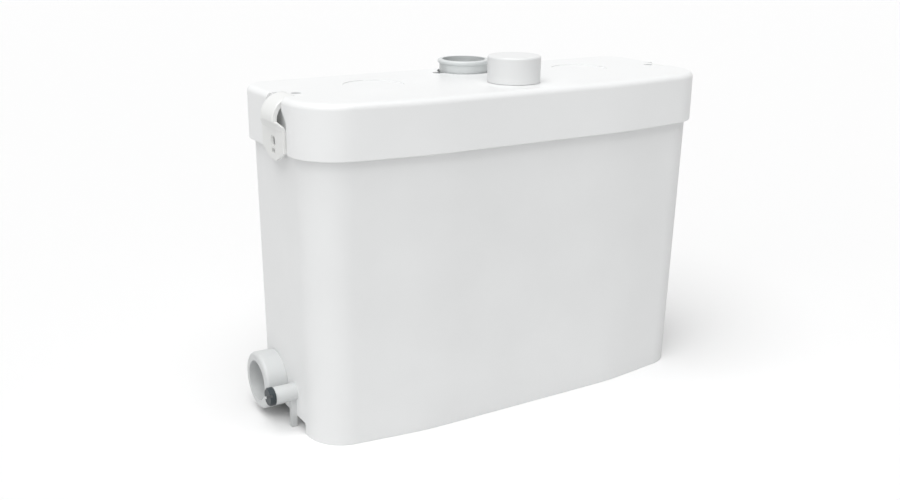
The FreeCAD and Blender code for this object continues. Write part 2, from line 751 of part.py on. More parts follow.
def clip_profile():
    """Side outline of the left clip, in the XZ plane, as a face."""
    out = CLIP_BEND
    inn = CLIP_BEND - CLIP_THICK
    lug_in = LUG_FACE - CLIP_LUG_THICK

    def p(x, z):
        return V(-x, 0, z)

    def arc(radius):
        c = math.cos(math.radians(45)) * radius
        return Part.Arc(p(BEND_X, BEND_Z + radius), p(BEND_X + c, BEND_Z + c), p(BEND_X + radius, BEND_Z))

    rise = HEIGHT - KNUCKLE_Z
    under = HEIGHT - CLIP_THICK
    heel_top = p(KNUCKLE_X - math.sqrt(CLIP_HEEL ** 2 - rise ** 2), HEIGHT)
    heel_low = p(KNUCKLE_X - math.sqrt(CLIP_HEEL ** 2 - (under - KNUCKLE_Z) ** 2), under)
    half_rise = (rise + under - KNUCKLE_Z) / 2
    heel_middle = p(KNUCKLE_X - math.sqrt(CLIP_HEEL ** 2 - half_rise ** 2), KNUCKLE_Z + half_rise)
    outer = [p(BEND_X + out, BEND_Z), p(BEND_X + out, STEP_Z),
             p(LUG_FACE + CLIP_SHOULDER, STEP_Z - CLIP_SHOULDER_DROP),
             p(LUG_FACE, STEP_Z - CLIP_SHOULDER_END), p(LUG_FACE, LUG_LOW), p(lug_in, LUG_LOW),
             p(lug_in, STEP_Z - CLIP_SHOULDER_END + 1.0), p(BEND_X + inn, STEP_Z), p(BEND_X + inn, BEND_Z)]
    edges = [Part.makeLine(heel_top, p(BEND_X, HEIGHT)), arc(out).toShape()]
    edges += [Part.makeLine(a, b) for a, b in zip(outer, outer[1:])]
    edges += [arc(inn).toShape(), Part.makeLine(p(BEND_X, under), heel_low),
              Part.Arc(heel_low, heel_middle, heel_top).toShape()]
    return Part.Face(Part.Wire(Part.__sortEdges__(edges)))


def clip_outline():
    """Front outline of the clip across Y: narrow arch above a wide pointed lug."""
    arch = CLIP_WIDE / 2
    lug = CLIP_LUG / 2
    corner = LUG_LOW + CLIP_TIP
    nose = CLIP_NOSE / 2
    half = [(nose, LUG_LOW), (lug, corner), (lug, STEP_Z - CLIP_LUG_TOP),
            (arch, STEP_Z - CLIP_LUG_RISE), (arch, HEIGHT + 1)]
    outline = [(-y, z) for y, z in reversed(half)] + half
    points = [V(-LENGTH, END_LINE + y, z) for y, z in outline]
    return Part.Face(Part.makePolygon(points + points[:1])).extrude(V(LENGTH, 0, 0))


def make_clip(side):
    strap = clip_profile()
    strap.translate(V(0, END_LINE - CLIP_LUG / 2, 0))
    strap = strap.extrude(V(0, CLIP_LUG, 0)).common(clip_outline())
    arcs = [e for e in strap.Edges if e.Curve.TypeId == "Part::GeomCircle"]
    bends = [e for e in arcs if abs(e.Curve.Radius - CLIP_BEND) < 0.01]
    strap = strap.makeFillet(CLIP_EDGE, bends)
    knuckle = rod_y(CLIP_KNUCKLE, END_LINE - CLIP_WIDE / 2, END_LINE + CLIP_WIDE / 2, -KNUCKLE_X, KNUCKLE_Z)
    strap = strap.fuse(knuckle)
    slot_z = LUG_LOW + CLIP_SLOT_UP
    cuts = [rod_x(CLIP_HOLE, -LENGTH, -KNUCKLE_X, END_LINE, PEG_Z),
            box(-LENGTH, -KNUCKLE_X, END_LINE - CLIP_SLOT_LONG / 2, END_LINE + CLIP_SLOT_LONG / 2,
                slot_z - CLIP_SLOT_HIGH / 2, slot_z + CLIP_SLOT_HIGH / 2),
            rod_y(CLIP_PIN + RUN, END_LINE - CLIP_LUG, END_LINE + CLIP_LUG, -KNUCKLE_X, KNUCKLE_Z)]
    return mirrored(strap.cut(cuts[0].fuse(cuts[1:])), side)


def clip_pin(side):
    wide = CLIP_WIDE / 2 + CLOSE + POCKET_WALL - CLIP_PIN_SHORT
    return mirrored(rod_y(CLIP_PIN, END_LINE - wide, END_LINE + wide, -KNUCKLE_X, KNUCKLE_Z), side)


def make_clip_pins():
    return Part.makeCompound([clip_pin(-1), clip_pin(1)])


# Vent

def make_vent_cap():
    low = HEIGHT + CAP_LIFT
    top = HEIGHT + CAP_HIGH
    cap = rod(CAP_RADIUS, CAP_X, CAP_Y, low, top)
    cap = cap.makeFillet(CAP_EDGE, edges_at(cap, top))
    cap = cap.cut(rod(CAP_RADIUS - CAP_WALL, CAP_X, CAP_Y, low - 1, top - CAP_WALL))
    feet = []
    for x, y, turn in around(CAP_FEET, (VENT_RADIUS + CAP_RADIUS) / 2, CAP_X, CAP_Y, 45):
        foot = box(x - CAP_FOOT_LONG / 2, x + CAP_FOOT_LONG / 2,
                   y - CAP_FOOT_THICK / 2, y + CAP_FOOT_THICK / 2, HEIGHT + SEAT, top - CAP_WALL + 0.5)
        foot.rotate(V(x, y, 0), UP, turn)
        feet.append(foot)
    return cap.fuse(feet)


def make_vent_filter():
    top = HEIGHT + CAP_HIGH - CAP_WALL
    return rod(VENT_RADIUS - LOOSE, CAP_X, CAP_Y, top - FILTER_THICK, top)


def make_vent_spigot():
    """Vent tube on a flange let into the lid, with a slotted disc across it."""
    z = HEIGHT + VENT_HIGH - GRILLE_DROP
    pipe = tube(VENT_RADIUS, VENT_BORE, CAP_X, CAP_Y, LID_UNDER, HEIGHT + VENT_HIGH)
    pipe = pipe.fuse(tube(VENT_FLANGE, VENT_BORE, CAP_X, CAP_Y, LID_UNDER, HEIGHT))
    disc = rod(VENT_BORE, CAP_X, CAP_Y, z, z + GRILLE_THICK)
    slots = []
    for i in (-2, -1, 0, 1, 2):
        y = CAP_Y + i * GRILLE_PITCH
        slots.append(box(CAP_X - VENT_BORE * GRILLE_SPAN, CAP_X + VENT_BORE * GRILLE_SPAN,
                         y - GRILLE_SLOT / 2, y + GRILLE_SLOT / 2, z - 1, z + GRILLE_THICK + 1))
    return pipe.fuse(disc.cut(slots[0].fuse(slots[1:])))


# Inlets and drain

def make_inlet_flap(side):
    y0 = inlet_y(side)
    disc = rod_x(FLAP_RADIUS, -FLAP_X - FLAP_THICK / 2, -FLAP_X + FLAP_THICK / 2, y0, INLET_UP)
    half = FLAP_KNUCKLE_LONG / 2
    arm = box(-FLAP_X - FLAP_THICK / 2, -FLAP_X + FLAP_THICK / 2, y0 - half, y0 + half,
              INLET_UP, FLAP_PIN_Z)
    knuckle = rod_y(FLAP_KNUCKLE, y0 - half, y0 + half, -FLAP_X, FLAP_PIN_Z)
    bore = rod_y(FLAP_PIN + RUN, y0 - DEPTH, y0 + DEPTH, -FLAP_X, FLAP_PIN_Z)
    return mirrored(fused(disc, arm, knuckle).cut(bore), side)


def flap_pin(side):
    y0 = inlet_y(side)
    half = FLAP_KNUCKLE_LONG / 2 + SLIP + EAR_THICK
    return mirrored(rod_y(FLAP_PIN, y0 - half, y0 + half, -FLAP_X, FLAP_PIN_Z), side)


def make_flap_pins():
    return Part.makeCompound([flap_pin(-1), flap_pin(1)])


def make_drain_plug(side):
    x = DRAIN_REACH
    head = rod_x(PLUG_RADIUS, -x - PLUG_HEAD - SEAT, -x - SEAT, DRAIN_Y, DRAIN_UP)
    outer = [e for e in head.Edges if abs(e.BoundBox.XMax + x + PLUG_HEAD + SEAT) < 0.01]
    head = head.makeChamfer(PLUG_EDGE, outer)
    slot = box(-x - PLUG_HEAD - 2, -x - PLUG_HEAD - SEAT + PLUG_SLOT_DEEP, DRAIN_Y - DEPTH, DRAIN_Y + DEPTH,
               DRAIN_UP - PLUG_SLOT / 2, DRAIN_UP + PLUG_SLOT / 2)
    slot.rotate(V(0, DRAIN_Y, DRAIN_UP), V(1, 0, 0), -PLUG_SLOT_TURN)
    stem = rod_x(DRAIN_BORE - PLUG_RELIEF, -x - 1, -x + PLUG_STEM, DRAIN_Y, DRAIN_UP)
    return mirrored(head.cut(slot).fuse(stem), side)


def make_plug_seal(side):
    x = -DRAIN_REACH + PLUG_STEM - PLUG_SEAL_BACK
    ring = rod_x(DRAIN_BORE - SLIP, x, x + PLUG_SEAL_LONG, DRAIN_Y, DRAIN_UP)
    stem = rod_x(DRAIN_BORE - PLUG_RELIEF, x - 1, x + PLUG_SEAL_LONG + 1, DRAIN_Y, DRAIN_UP)
    return mirrored(ring.cut(stem), side)


# Discharge

def make_collar():
    neck = rod(COLLAR_NECK, COLLAR_X, COLLAR_Y, COLLAR_Z, COLLAR_TOP)
    bead = rod(COLLAR_BEAD, COLLAR_X, COLLAR_Y, COLLAR_TOP - BEAD_HIGH, COLLAR_TOP)
    bead = bead.makeFillet(BEAD_HIGH * BEAD_ROUND, bead.Edges[0:1] + bead.Edges[2:3])
    body = neck.fuse(bead)
    seat = COLLAR_Z + COLLAR_FOOT
    body = body.cut(rod(VALVE_CHAMBER, COLLAR_X, COLLAR_Y, seat, COLLAR_TOP))
    body = body.cut(rod(COLLAR_BORE, COLLAR_X, COLLAR_Y, seat + VALVE_ROOM, COLLAR_TOP + 1))
    body = body.cut(rod(RISER_BORE, COLLAR_X, COLLAR_Y, COLLAR_Z - 1, COLLAR_TOP))
    socket = tube(RISER_RADIUS + SOCKET_WALL, RISER_RADIUS, COLLAR_X, COLLAR_Y,
                  COLLAR_Z - SOCKET_LONG, COLLAR_Z + 0.5)
    body = body.fuse(socket)
    return body.cut(valve_pin_shape(0.0))


def valve_pin_shape(extra):
    y = COLLAR_Y + VALVE_OFFSET
    z = COLLAR_Z + COLLAR_FOOT + SEAT + VALVE_KNUCKLE
    half = math.sqrt(COLLAR_BORE ** 2 - VALVE_OFFSET ** 2) + VALVE_PIN_SET
    return rod_x(VALVE_PIN + extra, COLLAR_X - half, COLLAR_X + half, y, z)


def make_check_flap():
    z = COLLAR_Z + COLLAR_FOOT + SEAT
    y = COLLAR_Y + VALVE_OFFSET
    disc = rod(VALVE_DISC, COLLAR_X, COLLAR_Y, z, z + VALVE_THICK)
    half = VALVE_ARM / 2
    arm = box(COLLAR_X - half, COLLAR_X + half, COLLAR_Y, y, z, z + VALVE_THICK)
    knuckle = rod_x(VALVE_KNUCKLE, COLLAR_X - half, COLLAR_X + half, y, z + VALVE_KNUCKLE)
    rib = box(COLLAR_X - VALVE_RIB / 2, COLLAR_X + VALVE_RIB / 2, COLLAR_Y - VALVE_DISC * 0.7, y,
              z, z + VALVE_THICK + VALVE_RIB_HIGH)
    return fused(disc, arm, knuckle, rib).cut(valve_pin_shape(RUN))


def riser_bottom():
    return VOLUTE_Z + VOLUTE_HIGH / 2


def elbow_turn():
    return RISER_RADIUS + ELBOW_ROOM


def outlet_end():
    """Where the volute's outlet tube stops, along the line to the riser."""
    dx = COLLAR_X - PUMP_X
    dy = COLLAR_Y - PUMP_Y
    size = math.hypot(dx, dy)
    return dx / size, dy / size, size


def make_riser():
    """Pipe from the volute's outlet, round an elbow and up to the collar."""
    ux, uy, size = outlet_end()
    turn = elbow_turn()
    z = riser_bottom()
    start = V(COLLAR_X - ux * (turn + RISER_LEAD), COLLAR_Y - uy * (turn + RISER_LEAD), z)
    bend0 = V(COLLAR_X - ux * turn, COLLAR_Y - uy * turn, z)
    bend1 = V(COLLAR_X, COLLAR_Y, z + turn)
    c = turn * (1 - math.cos(math.radians(45)))
    s = turn * math.sin(math.radians(45))
    middle = V(COLLAR_X - ux * (turn - s), COLLAR_Y - uy * (turn - s), z + c)
    top = V(COLLAR_X, COLLAR_Y, COLLAR_Z - SLIP)
    path = Part.Wire([Part.makeLine(start, bend0), Part.Arc(bend0, middle, bend1).toShape(),
                      Part.makeLine(bend1, top)])
    solids = []
    for radius in (RISER_RADIUS, RISER_BORE):
        ring = Part.Wire(Part.makeCircle(radius, start, V(ux, uy, 0)))
        solids.append(path.makePipeShell([ring], True, False))
    return solids[0].cut(solids[1])


def make_outlet_sleeve():
    """Rubber sleeve over the volute's outlet and the start of the riser."""
    ux, uy, size = outlet_end()
    near = VOLUTE_RADIUS + 1.0
    far = size - elbow_turn() - SLIP
    start = V(PUMP_X + ux * near, PUMP_Y + uy * near, riser_bottom())
    way = V(ux, uy, 0)
    outer = Part.makeCylinder(RISER_RADIUS + SLEEVE_WALL, far - near, start, way)
    return outer.cut(Part.makeCylinder(RISER_RADIUS, far - near + 2, start - way, way))


# Pump unit

def make_strainer():
    z0 = FLOOR_Z + SEAT
    z1 = VOLUTE_Z
    ring = tube(STRAINER_RADIUS, STRAINER_RADIUS - STRAINER_WALL, PUMP_X, PUMP_Y, z0, z1)
    slots = []
    for x, y, turn in around(STRAINER_SLOTS, STRAINER_RADIUS, PUMP_X, PUMP_Y):
        slot = box(x - 2 * STRAINER_WALL, x + 2 * STRAINER_WALL, y - STRAINER_SLOT / 2, y + STRAINER_SLOT / 2,
                   z0 - 1, z1 - STRAINER_BAND)
        slot.rotate(V(x, y, 0), UP, turn)
        slots.append(slot)
    return ring.cut(slots[0].fuse(slots[1:]))


def make_volute():
    ux, uy, size = outlet_end()
    z = riser_bottom()
    body = rod(VOLUTE_RADIUS, PUMP_X, PUMP_Y, VOLUTE_Z, BRACKET_Z)
    body = body.makeFillet(VOLUTE_EDGE, edges_at(body, VOLUTE_Z))
    reach = size - elbow_turn() - RISER_LEAD - SLIP
    way = V(ux, uy, 0)
    root = V(PUMP_X + ux * IMPELLER_RADIUS, PUMP_Y + uy * IMPELLER_RADIUS, z)
    spout = Part.makeCylinder(RISER_RADIUS, reach - IMPELLER_RADIUS, root, way)
    bore = Part.makeCylinder(RISER_BORE, reach - IMPELLER_RADIUS + 1, root, way)
    chamber = rod(IMPELLER_RADIUS + IMPELLER_ROOM, PUMP_X, PUMP_Y, VOLUTE_Z + VOLUTE_WALL, BRACKET_Z + 1)
    ears = []
    for x, y, turn in around(PUMP_EARS, EAR_RING, PUMP_X, PUMP_Y, EAR_TURN):
        ears.append(rod(BUSH_RADIUS + EAR_RIM, x, y, EAR_Z, EAR_Z + EAR_HIGH))
    body = body.fuse([spout] + ears)
    cuts = [bore, chamber, rod(SUCTION_RADIUS, PUMP_X, PUMP_Y, VOLUTE_Z - 1, VOLUTE_Z + VOLUTE_WALL + 1)]
    for x, y, turn in around(PUMP_EARS, EAR_RING, PUMP_X, PUMP_Y, EAR_TURN):
        cuts.append(rod(FOOT_HOLE, x, y, VOLUTE_Z, EAR_Z + EAR_HIGH + 1))
    return body.cut(cuts[0].fuse(cuts[1:]))


def make_pump_bushes():
    bushes = [tube(BUSH_RADIUS, FOOT_HOLE, x, y, EAR_Z - BUSH_HIGH, EAR_Z)
              for x, y, turn in around(PUMP_EARS, EAR_RING, PUMP_X, PUMP_Y, EAR_TURN)]
    return Part.makeCompound(bushes)


def make_foot_screws():
    screws = []
    for x, y, turn in around(PUMP_EARS, EAR_RING, PUMP_X, PUMP_Y, EAR_TURN):
        z = EAR_Z + EAR_HIGH
        head = rod(FOOT_SCREW * 2.5, x, y, z, z + FOOT_SCREW * 2)
        screws.append(head.fuse(rod(FOOT_SCREW, x, y, FLOOR_Z + 1.0, z)))
    return Part.makeCompound(screws)


def make_bracket():
    """Bearing bracket and oil chamber between the pump and the motor."""
    body = rod(MOTOR_RADIUS, PUMP_X, PUMP_Y, BRACKET_Z, MOTOR_Z)
    cuts = [rod(SEAL_RADIUS, PUMP_X, PUMP_Y, BRACKET_Z - 1, SEAL_Z + SEAL_HIGH),
            rod(SHAFT_RADIUS + SHAFT_ROOM, PUMP_X, PUMP_Y, BRACKET_Z - 1, MOTOR_Z + 1),
            rod(BEARING_RADIUS, PUMP_X, PUMP_Y, LOWER_BEARING_Z, MOTOR_Z + 1)]
    fins = tube(MOTOR_RADIUS + 1, MOTOR_RADIUS - FIN_DEEP, PUMP_X, PUMP_Y,
                BRACKET_Z + FIN_UP, BRACKET_Z + FIN_UP + FIN_HIGH)
    return body.cut(cuts[0].fuse(cuts[1:] + [fins]))


def make_motor_can():
    return tube(MOTOR_RADIUS, MOTOR_RADIUS - MOTOR_WALL, PUMP_X, PUMP_Y, MOTOR_Z, COVER_Z)


def make_motor_cover():
    body = rod(MOTOR_RADIUS + COVER_STEP, PUMP_X, PUMP_Y, COVER_Z, COVER_Z + COVER_HIGH)
    body = body.makeFillet(COVER_EDGE, edges_at(body, COVER_Z + COVER_HIGH))
    hub = rod(BEARING_RADIUS + HUB_WALL, PUMP_X, PUMP_Y, UPPER_BEARING_Z, COVER_Z + 1)
    inside = MOTOR_RADIUS - MOTOR_WALL
    spigot = tube(inside, inside - COVER_SPIGOT_WALL, PUMP_X, PUMP_Y, COVER_Z - COVER_SPIGOT, COVER_Z + 1)
    entry = rod(ENTRY_RADIUS, PUMP_X - ENTRY_OUT, PUMP_Y, COVER_Z + 1, COVER_Z + COVER_HIGH + ENTRY_HIGH)
    body = body.fuse([hub, spigot, entry])
    cuts = [rod(BEARING_RADIUS, PUMP_X, PUMP_Y, UPPER_BEARING_Z - 1, UPPER_BEARING_Z + BEARING_HIGH),
            rod(SHAFT_RADIUS + SHAFT_ROOM, PUMP_X, PUMP_Y, UPPER_BEARING_Z,
                COVER_Z + COVER_HIGH - COVER_ROOM),
            tube(MOTOR_RADIUS - 6, BEARING_RADIUS + HUB_WALL, PUMP_X, PUMP_Y,
                 COVER_Z - 6, COVER_Z + COVER_ROOM)]
    return body.cut(cuts[0].fuse(cuts[1:2])).cut(cuts[2].cut(entry))


def make_bearing(z):
    outer = tube(BEARING_RADIUS, BEARING_RADIUS - BEARING_RING, PUMP_X, PUMP_Y, z, z + BEARING_HIGH)
    seat = tube(BEARING_RADIUS - BEARING_RING / 2, SHAFT_RADIUS + RUN, PUMP_X, PUMP_Y,
                z + BEARING_SHIELD, z + BEARING_HIGH - BEARING_SHIELD)
    inner = tube(SHAFT_RADIUS + BEARING_RING, SHAFT_RADIUS + RUN, PUMP_X, PUMP_Y, z, z + BEARING_HIGH)
    return fused(outer, seat, inner)


def make_shaft_seal():
    return tube(SEAL_RADIUS, SHAFT_RADIUS + RUN, PUMP_X, PUMP_Y, SEAL_Z, SEAL_Z + SEAL_HIGH)


def make_stator():
    outer = tube(STATOR_RADIUS, ROTOR_RADIUS + AIR_GAP, PUMP_X, PUMP_Y, STATOR_Z, STATOR_Z + STATOR_HIGH)
    slots = []
    for x, y, turn in around(STATOR_TEETH, (STATOR_RADIUS + ROTOR_RADIUS) / 2, PUMP_X, PUMP_Y):
        slots.append(rod(SLOT_RADIUS, x, y, STATOR_Z - 1, STATOR_Z + STATOR_HIGH + 1))
    return outer.cut(slots[0].fuse(slots[1:]))


def make_winding():
    """Copper: one bundle through each slot, joined by the two end rings."""
    middle = (STATOR_RADIUS + ROTOR_RADIUS) / 2
    pieces = []
    for z in (STATOR_Z - SEAT - WINDING_HIGH, STATOR_Z + STATOR_HIGH + SEAT):
        ring = tube(middle + WINDING_HALF, middle - WINDING_HALF, PUMP_X, PUMP_Y, z, z + WINDING_HIGH)
        pieces.append(ring.makeFillet(WINDING_EDGE, ring.Edges))
    for x, y, turn in around(STATOR_TEETH, middle, PUMP_X, PUMP_Y):
        pieces.append(rod(BUNDLE_RADIUS, x, y, STATOR_Z - 2.0, STATOR_Z + STATOR_HIGH + 2.0))
    return pieces[0].fuse(pieces[1:])


def make_rotor():
    return tube(ROTOR_RADIUS, SHAFT_RADIUS, PUMP_X, PUMP_Y, STATOR_Z, STATOR_Z + STATOR_HIGH)


def make_shaft():
    return rod(SHAFT_RADIUS, PUMP_X, PUMP_Y, CUTTER_Z - NUT_HIGH, COVER_Z)


def make_impeller():
    z = IMPELLER_Z
    top = z + IMPELLER_HIGH
    plate = rod(IMPELLER_RADIUS, PUMP_X, PUMP_Y, top - IMPELLER_PLATE, top)
    hub = rod(SHAFT_RADIUS + HUB_WALL, PUMP_X, PUMP_Y, z, top)
    vanes = []
    for i in range(VANES):
        vane = box(PUMP_X + SHAFT_RADIUS + HUB_WALL - 1, PUMP_X + IMPELLER_RADIUS - 1,
                   PUMP_Y - VANE_THICK / 2, PUMP_Y + VANE_THICK / 2, z, top - 1)
        vane.rotate(V(PUMP_X + SHAFT_RADIUS, PUMP_Y, 0), UP, VANE_LEAN)
        vane.rotate(V(PUMP_X, PUMP_Y, 0), UP, i * 360.0 / VANES)
        vanes.append(vane)
    limit = rod(IMPELLER_RADIUS, PUMP_X, PUMP_Y, z, top)
    wheel = plate.fuse([hub] + vanes).common(limit)
    return wheel.cut(rod(SHAFT_RADIUS, PUMP_X, PUMP_Y, z - 1, top + 1))


def make_cutter():
    z = CUTTER_Z
    hub = rod(SHAFT_RADIUS + HUB_WALL, PUMP_X, PUMP_Y, z, z + CUTTER_THICK)
    blade = box(PUMP_X - CUTTER_RADIUS, PUMP_X + CUTTER_RADIUS, PUMP_Y - BLADE_WIDE / 2,
                PUMP_Y + BLADE_WIDE / 2, z, z + CUTTER_THICK)
    cross = blade.copy()
    cross.rotate(V(PUMP_X, PUMP_Y, 0), UP, 90)
    knife = fused(hub, blade, cross).common(rod(CUTTER_RADIUS, PUMP_X, PUMP_Y, z - 1, z + CUTTER_THICK + 1))
    return knife.cut(rod(SHAFT_RADIUS, PUMP_X, PUMP_Y, z - 1, z + CUTTER_THICK + 1))


def hexagon(radius, x, y, z0, z1):
    points = [V(px, py, z0) for px, py, turn in around(6, radius, x, y)]
    return Part.Face(Part.makePolygon(points + points[:1])).extrude(V(0, 0, z1 - z0))


def make_shaft_nut():
    nut = hexagon(SHAFT_RADIUS + HUB_WALL, PUMP_X, PUMP_Y, CUTTER_Z - NUT_HIGH, CUTTER_Z)
    return nut.cut(rod(SHAFT_RADIUS, PUMP_X, PUMP_Y, CUTTER_Z - NUT_HIGH - 1, CUTTER_Z + 1))


# Level switch and electrics

def make_pressure_chamber():
    body = tube(CHAMBER_RADIUS, CHAMBER_RADIUS - CHAMBER_WALL, CHAMBER_X, CHAMBER_Y, CHAMBER_FOOT, DECK_UP)
    notch = box(CHAMBER_X - CHAMBER_NOTCH_WIDE / 2, CHAMBER_X + CHAMBER_NOTCH_WIDE / 2,
                CHAMBER_Y - DEPTH, CHAMBER_Y + DEPTH, CHAMBER_FOOT - 1, CHAMBER_FOOT + CHAMBER_NOTCH_HIGH)
    return body.cut(notch)


def make_deck():
    plate = box(CHAMBER_X - DECK_LONG / 2, CHAMBER_X + DECK_LONG / 2, -DECK_WIDE / 2, DECK_WIDE / 2,
                DECK_UP, DECK_TOP)
    corners = [e for e in plate.Edges if abs(e.BoundBox.ZMax - e.BoundBox.ZMin) > 1]
    plate = plate.makeFillet(DECK_EDGE, corners)
    return plate.cut(rod(CHAMBER_RADIUS - CHAMBER_WALL, CHAMBER_X, CHAMBER_Y, DECK_UP - 1, DECK_TOP + 1))


def make_switch_housing():
    z = SWITCH_Z
    body = rod(SWITCH_RADIUS, CHAMBER_X, CHAMBER_Y, z, z + SWITCH_HIGH)
    body = body.makeFillet(SWITCH_EDGE, edges_at(body, z + SWITCH_HIGH))
    cuts = [rod(CHAMBER_RADIUS - CHAMBER_WALL, CHAMBER_X, CHAMBER_Y, z - 1, z + MEMBRANE_UP),
            rod(CHAMBER_RADIUS, CHAMBER_X, CHAMBER_Y, z + MEMBRANE_UP, z + MEMBRANE_UP + MEMBRANE_THICK),
            rod(CHAMBER_RADIUS - SWITCH_RIM, CHAMBER_X, CHAMBER_Y,
                z + MEMBRANE_UP, z + SWITCH_HIGH - SWITCH_ROOF),
            rod(PLUNGER_RADIUS + RUN, CHAMBER_X, CHAMBER_Y, z + MEMBRANE_UP, z + SWITCH_HIGH + 1)]
    return body.cut(cuts[0].fuse(cuts[1:]))


def make_membrane():
    z = SWITCH_Z + MEMBRANE_UP
    return rod(CHAMBER_RADIUS, CHAMBER_X, CHAMBER_Y, z, z + MEMBRANE_THICK)


def make_plunger():
    z = PLUNGER_Z + SEAT
    foot = rod(CHAMBER_RADIUS - PLUNGER_FOOT_IN, CHAMBER_X, CHAMBER_Y, z, z + PLUNGER_FOOT)
    return foot.fuse(rod(PLUNGER_RADIUS, CHAMBER_X, CHAMBER_Y, z, SWITCH_Z + SWITCH_HIGH + PLUNGER_PROUD))


def make_microswitch():
    z = SWITCH_Z + SWITCH_HIGH + PLUNGER_PROUD + PLUNGER_TRAVEL + SEAT
    top = z + MICRO_HIGH
    body = box(CHAMBER_X - MICRO_LONG / 2, CHAMBER_X + MICRO_LONG / 2,
               CHAMBER_Y - MICRO_WIDE / 2, CHAMBER_Y + MICRO_WIDE / 2, z, top)
    body = body.makeFillet(1.0, body.Edges)
    legs = []
    for sign in (-1, 1):
        x = CHAMBER_X + sign * (MICRO_LONG / 2 - MICRO_LEG_IN)
        legs.append(box(x - MICRO_LEG / 2, x + MICRO_LEG / 2, CHAMBER_Y - MICRO_LEG, CHAMBER_Y + MICRO_LEG,
                        SWITCH_Z + SWITCH_HIGH, z + 2))
    tabs = []
    for i in (-1, 0, 1):
        x = CHAMBER_X + i * TAB_PITCH
        tabs.append(box(x - TAB_THICK / 2, x + TAB_THICK / 2,
                        CHAMBER_Y - TAB_WIDE / 2, CHAMBER_Y + TAB_WIDE / 2, top - 1, top + TAB_HIGH))
    return body.fuse(legs + tabs)


def make_capacitor():
    x0 = CHAMBER_X - SWITCH_RADIUS - CAPACITOR_GAP - CAPACITOR_RADIUS
    y = CHAMBER_Y
    z0 = DECK_TOP
    can = rod(CAPACITOR_RADIUS, x0, y, z0, z0 + CAPACITOR_LONG)
    top = z0 + CAPACITOR_LONG
    can = can.makeFillet(SWITCH_EDGE, edges_at(can, top))
    tabs = []
    for sign in (-1, 1):
        x = x0 + sign * CAPACITOR_TAB_PITCH / 2
        tabs.append(box(x - TAB_THICK / 2, x + TAB_THICK / 2, y - CAPACITOR_TAB_WIDE / 2,
                        y + CAPACITOR_TAB_WIDE / 2, top - 1, top + CAPACITOR_TAB_HIGH))
    return can.fuse(tabs)


def make_capacitor_strap():
    x0 = CHAMBER_X - SWITCH_RADIUS - CAPACITOR_GAP - CAPACITOR_RADIUS
    y = CHAMBER_Y
    z0 = DECK_TOP
    band = tube(CAPACITOR_RADIUS + STRAP_WALL, CAPACITOR_RADIUS, x0, y, z0, z0 + STRAP_HIGH)
    foot = box(x0 - STRAP_WIDE / 2, x0 + STRAP_WIDE / 2, y - CAPACITOR_RADIUS - STRAP_FOOT,
               y - CAPACITOR_RADIUS - STRAP_WALL / 2, z0, z0 + DECK_THICK)
    return band.fuse(foot)


def make_terminal_block():
    x0 = CHAMBER_X + SWITCH_RADIUS + BLOCK_GAP
    y0 = CHAMBER_Y - BLOCK_LONG / 2
    z = DECK_TOP
    body = box(x0, x0 + BLOCK_WIDE, y0, y0 + BLOCK_LONG, z, z + BLOCK_HIGH)
    cuts = []
    for i in range(BLOCK_WAYS):
        y = y0 + (i + 0.5) * BLOCK_LONG / BLOCK_WAYS
        cuts.append(rod(BLOCK_SCREW, x0 + BLOCK_WIDE / 2, y, z + BLOCK_WIRE_UP + 1, z + BLOCK_HIGH + 1))
        cuts.append(rod_x(BLOCK_WIRE, x0 - 1, x0 + BLOCK_WIDE + 1, y, z + BLOCK_WIRE_UP))
    return body.cut(cuts[0].fuse(cuts[1:]))


def make_deck_screws():
    screws = []
    for x in (CHAMBER_X - DECK_LONG / 3, CHAMBER_X + DECK_LONG / 3):
        for sign in (-1, 1):
            y = sign * (DECK_WIDE / 2 - DECK_SCREW_IN)
            head = rod(DECK_SCREW, x, y, DECK_TOP, DECK_TOP + DECK_SCREW_HIGH)
            screws.append(head.makeFillet(0.8, edges_at(head, DECK_TOP + DECK_SCREW_HIGH)))
    return Part.makeCompound(screws)


def make_grommet():
    outside = BACK_Y - OVERHANG
    inside = outside - TANK_WALL
    y0 = inside - GROMMET_LIP
    y1 = outside + GROMMET_LIP
    body = rod_y(GROMMET_RADIUS, y0, y1, GROMMET_X, GROMMET_Z)
    lips = [rod_y(GROMMET_RADIUS + GROMMET_LIP, y0, inside, GROMMET_X, GROMMET_Z),
            rod_y(GROMMET_RADIUS + GROMMET_LIP, outside, y1, GROMMET_X, GROMMET_Z)]
    return body.fuse(lips).cut(rod_y(GROMMET_BORE, y0 - 1, y1 + 1, GROMMET_X, GROMMET_Z))


INSIDE = tank_solid(TANK_WALL, -1.0, RIM_Z + 1)
WALLS = tank_walls()

